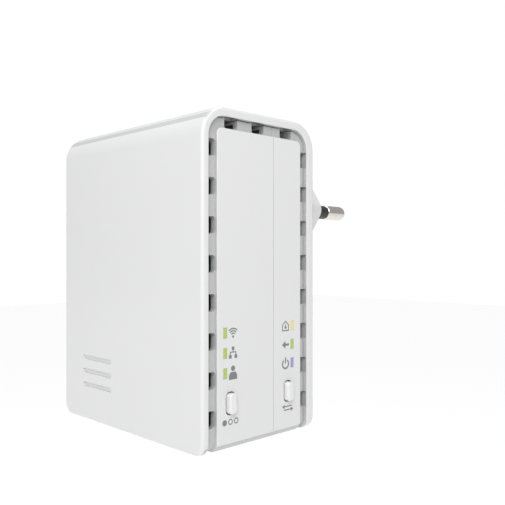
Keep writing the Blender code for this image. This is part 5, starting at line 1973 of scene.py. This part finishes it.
@dataclass
class PanelPrint:
    """The plain pictograms beside the windows and the marks under the buttons.

    Args:
        case: The inner case.
        icon_gap: Distance from a window's middle to its pictogram's.
        icon_size: Length of one drawing unit of a pictogram.
        mark_drop: Distance from a button's foot down to its mark's middle.
        mark_size: Length of one drawing unit of a button's mark.
    """

    case: InnerCase
    icon_gap: float = 0.00225
    icon_size: float = 0.00118
    mark_drop: float = 0.00175
    mark_size: float = 0.00095

    def icon(self, name: str, lamp: str, towards: int) -> Glyph:
        """Starts a pictogram beside a window.

        Args:
            name: The piece's name.
            lamp: The lamp behind the window.
            towards: 1 when the pictogram is to the window's right, -1 when to its left.

        Returns:
            The empty pictogram.
        """
        middle = node_middle(f"led_{lamp}")
        return Glyph(name, self.case, middle.y + towards * self.icon_gap, middle.z, self.icon_size)

    def wireless(self) -> None:
        """Prints the wireless fan: a dot under three arcs."""
        mark = self.icon("mark_wireless", "wireless", 1)
        foot = (0.0, -0.78)
        mark.disc(foot, 0.24)
        for radius in (0.62, 1.05, 1.48):
            mark.arc(foot, radius, 0.23, 46, 134, 12)
        mark.make()

    def network(self) -> None:
        """Prints the network tree: three stations on one line."""
        mark = self.icon("mark_network", "network", 1)
        line = 0.20
        mark.polygon((-0.32, 0.45), (0.32, 0.45), (0.32, 1.05), (-0.32, 1.05))
        mark.stroke((0.0, 0.50), (0.0, -0.02), line)
        mark.stroke((-0.78, 0.06), (0.78, 0.06), line)
        for middle in (-0.68, 0.68):
            left, right = middle - 0.34, middle + 0.34
            mark.stroke((middle, 0.10), (middle, -0.45), line)
            mark.polygon((left, -1.05), (right, -1.05), (right, -0.42), (left, -0.42))
        mark.make()

    def person(self) -> None:
        """Prints the user pictogram: a head over shoulders."""
        mark = self.icon("mark_clients", "clients", 1)
        mark.disc((0.0, 0.78), 0.50)
        mark.polygon((-1.0, -1.25), (1.0, -1.25), (1.0, -0.45), (0.62, 0.12), (-0.62, 0.12), (-1.0, -0.45))
        mark.make()

    def home(self) -> None:
        """Prints the home pictogram: a pitched outline with a drop inside."""
        mark = self.icon("mark_home", "home", -1)
        roof, eave, wall, foot = (0.0, 0.98), 0.20, 0.86, -0.86
        line, join, overhang = 0.22, 0.05, 0.06
        for side in (-1, 1):
            mark.stroke((side * wall, foot), (side * wall, eave + join), line)
            mark.stroke((side * (wall + overhang), eave - overhang), roof, line)
        mark.stroke((-wall - line / 2, foot), (wall + line / 2, foot), line)
        mark.disc((0.0, -0.24), 0.29)
        mark.polygon((-0.24, -0.12), (0.24, -0.12), (0.0, 0.38))
        mark.make()

    def data(self) -> None:
        """Prints the link pictogram: an arrow pointing left."""
        mark = self.icon("mark_data", "data", -1)
        mark.polygon((-1.0, 0.0), (-0.05, 0.75), (-0.05, -0.75))
        mark.stroke((-0.10, 0.0), (1.0, 0.0), 0.42)
        mark.make()

    def power(self) -> None:
        """Prints the power pictogram: an open ring with a stroke."""
        mark = self.icon("mark_power", "power", -1)
        line = 0.32
        mark.arc((0.0, -0.12), 0.86, line, 125, 415, 36)
        mark.stroke((0.0, -0.05), (0.0, 1.18), line)
        mark.make()

    def under_button(self, name: str, side: Side) -> Glyph:
        """Starts a mark under a button.

        Args:
            name: The piece's name.
            side: The button's half.

        Returns:
            The empty mark.
        """
        low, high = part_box(f"{BUTTONS[side]}_button")
        middle_z = low.z + self.case.button_lip - self.mark_drop
        return Glyph(name, self.case, (low.y + high.y) / 2, middle_z, self.mark_size)

    def mode(self) -> None:
        """Prints the mode mark: one full dot and two open ones."""
        mark = self.under_button("mark_mode", Side.FRONT)
        mark.disc((-1.75, 0.0), 0.68)
        for middle in (0.0, 1.75):
            mark.arc((middle, 0.0), 0.56, 0.24, 0, 360, 32)
        mark.make()

    def sync(self) -> None:
        """Prints the pairing mark: two arrows that point apart."""
        mark = self.under_button("mark_sync", Side.REAR)
        line = 0.26
        for side in (-1, 1):
            level = -side * 0.42
            mark.polygon((side * 2.0, level), (side * 1.15, -side * 0.95), (side * 1.15, side * 0.11))
            mark.stroke((side * 1.20, level), (-side * 1.35, level), line)
        mark.make()

    def make(self) -> None:
        """Prints every mark."""
        for draw in (
            self.wireless, self.network, self.person, self.home,
            self.data, self.power, self.mode, self.sync,
        ):
            draw()


# ---------------------------------------------------------------- what lies inside


INNER_FINISHES: tuple[tuple[Finish, tuple[str, ...]], ...] = (
    (BOARD_GREEN, ("wireless_board", "power_board")),
    (BLACK_JACK, ("network_jack", "board_link")),
    (GOLD, ("jack_contacts",)),
    (BLACK_PACKAGE, (
        "main_chip", "memory_chip", "flash_chip", "modem_chip", "optocoupler", "bridge_rectifier",
        "line_magnetics", "line_coupler", "mains_fuse", "mode_switch_body", "sync_switch_body",
    )),
    (ALUMINIUM, ("heat_sink",)),
    (STEEL, ("radio_shield", *(f"housing_screw_{where}" for where in SCREWS))),
    (NICKEL, ("clock_crystal", "antenna_left", "antenna_right")),
    (FERRITE, ("power_inductor", "transformer_core")),
    (YELLOW_TAPE, ("transformer_winding",)),
    (YELLOW_BOX, ("mains_capacitor",)),
    (CAN_SLEEVE, ("bulk_capacitor_lower", "bulk_capacitor_upper", "output_capacitor")),
    (BLUE_DIP, ("varistor",)),
    (GREY_CHOKE, ("mains_choke",)),
    (BRASS, ("pin_contact_live", "pin_contact_neutral")),
    (GREY_PLUNGER, ("mode_switch_plunger", "sync_switch_plunger")),
    (LAMP_BODY, tuple(f"led_{name}" for names in LAMPS.values() for name in names)),
)


@dataclass(frozen=True)
class Electronics:
    """The boards and everything on them, kept as packed and given their own finishes.

    Args:
        finishes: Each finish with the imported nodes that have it.
    """

    finishes: tuple[tuple[Finish, tuple[str, ...]], ...] = INNER_FINISHES

    def make(self) -> None:
        """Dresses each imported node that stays."""
        for finish, nodes in self.finishes:
            for node in nodes:
                self.dress_node(node, finish)

    @staticmethod
    def dress_node(node: str, finish: Finish) -> None:
        """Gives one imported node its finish.

        Args:
            node: The node.
            finish: Its finish.
        """
        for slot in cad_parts[node].material_slots:
            slot.material = finish.material()
        LOG.info("%s keeps its packed shape", node)


# ---------------------------------------------------------------- studio


@dataclass(frozen=True)
class SoftBox:
    """A square area light aimed at the middle of the case.

    Args:
        name: The light's name.
        place: Its position.
        size: Its side.
        power: Its power in watts.
    """

    name: str
    place: tuple[float, float, float]
    size: float
    power: float

    def hang(self, target: Vector) -> None:
        """Adds the light.

        Args:
            target: The point that it is aimed at.
        """
        light = bpy.data.lights.new(self.name, "AREA")
        light.size = self.size
        light.energy = self.power
        lamp = bpy.data.objects.new(self.name, light)
        lamp.location = self.place
        lamp.rotation_mode = "QUATERNION"
        lamp.rotation_quaternion = (target - Vector(self.place)).to_track_quat("-Z", "Y")
        bpy.context.scene.collection.objects.link(lamp)


@dataclass
class Studio:
    """The pale floor, the soft lights and the camera.

    Args:
        layout: Where the case lies.
        floor_drop: How far the floor lies below the adapter.
        floor_size: Side of the floor.
        floor_thickness: Thickness of the floor.
        floor_glow: Strength of the floor's own light.
        room_light: Strength of the even light from all round.
        camera_right: Distance of the camera to the right of the near lower corner.
        camera_before: Distance of the camera before that corner.
        camera_above: Height of the camera over that corner.
        camera_heading: Turn of the camera to the left, in degrees.
        camera_pitch: Tilt of the camera upwards, in degrees.
        lens: Focal length in millimetres.
        sensor: Width of the sensor in millimetres.
        nearest: The least distance that the camera sees.
        lights: Boxes before the near edge and over the roof, and a small one beside the camera.
    """

    layout: Layout
    floor_drop: float = 0.30
    floor_size: float = 8.0
    floor_thickness: float = 0.02
    floor_glow: float = 0.56
    room_light: float = 0.45
    camera_right: float = 0.10169
    camera_before: float = 0.08538
    camera_above: float = 0.04204
    camera_heading: float = 45.58
    camera_pitch: float = 0.096
    lens: float = 46.35
    sensor: float = 36.0
    nearest: float = 0.005
    lights: tuple[SoftBox, ...] = (
        SoftBox("key_box", (0.290, -0.330, 0.300), 0.26, 1.65),
        SoftBox("roof_box", (-0.02, -0.02, 0.50), 0.40, 1.40),
        SoftBox("camera_box", (0.24, -0.28, 0.06), 0.10, 0.10),
    )

    def make(self) -> None:
        """Sets up the floor, the world, the lights and the camera."""
        self.make_floor()
        self.make_world()
        target = (self.layout.low + self.layout.high) / 2
        for light in self.lights:
            light.hang(target)
        self.make_camera()

    def make_floor(self) -> None:
        """Lays a wide pale floor well below the adapter, which hangs in its socket."""
        shape = Shape()
        half = self.floor_size / 2
        top = self.layout.low.z - self.floor_drop
        shape.block((-half, -half, top - self.floor_thickness), (half, half, top))
        floor = shape.finish("studio_floor")
        dress(floor, FLOOR_CARD)
        shader = FLOOR_CARD.material().node_tree.nodes["Principled BSDF"]
        shader.inputs["Emission Color"].default_value = (1.0, 1.0, 1.0, 1.0)
        shader.inputs["Emission Strength"].default_value = self.floor_glow

    def make_world(self) -> None:
        """Fills the room with even white light, softer than the white that is seen behind."""
        world = bpy.data.worlds.new("white_room")
        world.use_nodes = True
        build = NodeBuilder(world.node_tree)
        background = world.node_tree.nodes["Background"]
        background.inputs["Color"].default_value = (1.0, 1.0, 1.0, 1.0)
        path = build.add("ShaderNodeLightPath")
        strength = build.spread(path.outputs["Is Camera Ray"], self.room_light, 1.0)
        build.link(strength, background.inputs["Strength"])
        bpy.context.scene.world = world

    def make_camera(self) -> None:
        """Stands the camera before the near upright edge, level with the case's middle."""
        data = bpy.data.cameras.new("view_camera")
        data.lens = self.lens
        data.sensor_width = self.sensor
        data.clip_start = self.nearest
        camera = bpy.data.objects.new("view_camera", data)
        corner = Vector((self.layout.high.x, self.layout.low.y, self.layout.low.z))
        camera.location = corner + Vector((self.camera_right, -self.camera_before, self.camera_above))
        heading, pitch = math.radians(self.camera_heading), math.radians(self.camera_pitch)
        forward = Vector((
            -math.sin(heading) * math.cos(pitch), math.cos(heading) * math.cos(pitch), math.sin(pitch)
        ))
        camera.rotation_mode = "QUATERNION"
        camera.rotation_quaternion = forward.to_track_quat("-Z", "Y")
        bpy.context.scene.collection.objects.link(camera)
        bpy.context.scene.camera = camera
        bpy.context.scene.view_settings.view_transform = "Standard"


def main() -> None:
    """Builds the sub-assemblies in order."""
    logging.basicConfig(level=logging.INFO, format="%(message)s")
    layout = Layout.from_frame()
    plug = PlugModule(layout)
    sleeve = Sleeve(layout)
    case = InnerCase(layout, plug, sleeve)
    sleeve.make(plug, case)
    case.make()
    plug.make()
    for side in Side:
        LightColumn(side, case).make()
        PushButton(side, case).make()
    PanelPrint(case).make()
    Electronics().make()
    Studio(layout).make()


if __name__ == "__main__":
    main()
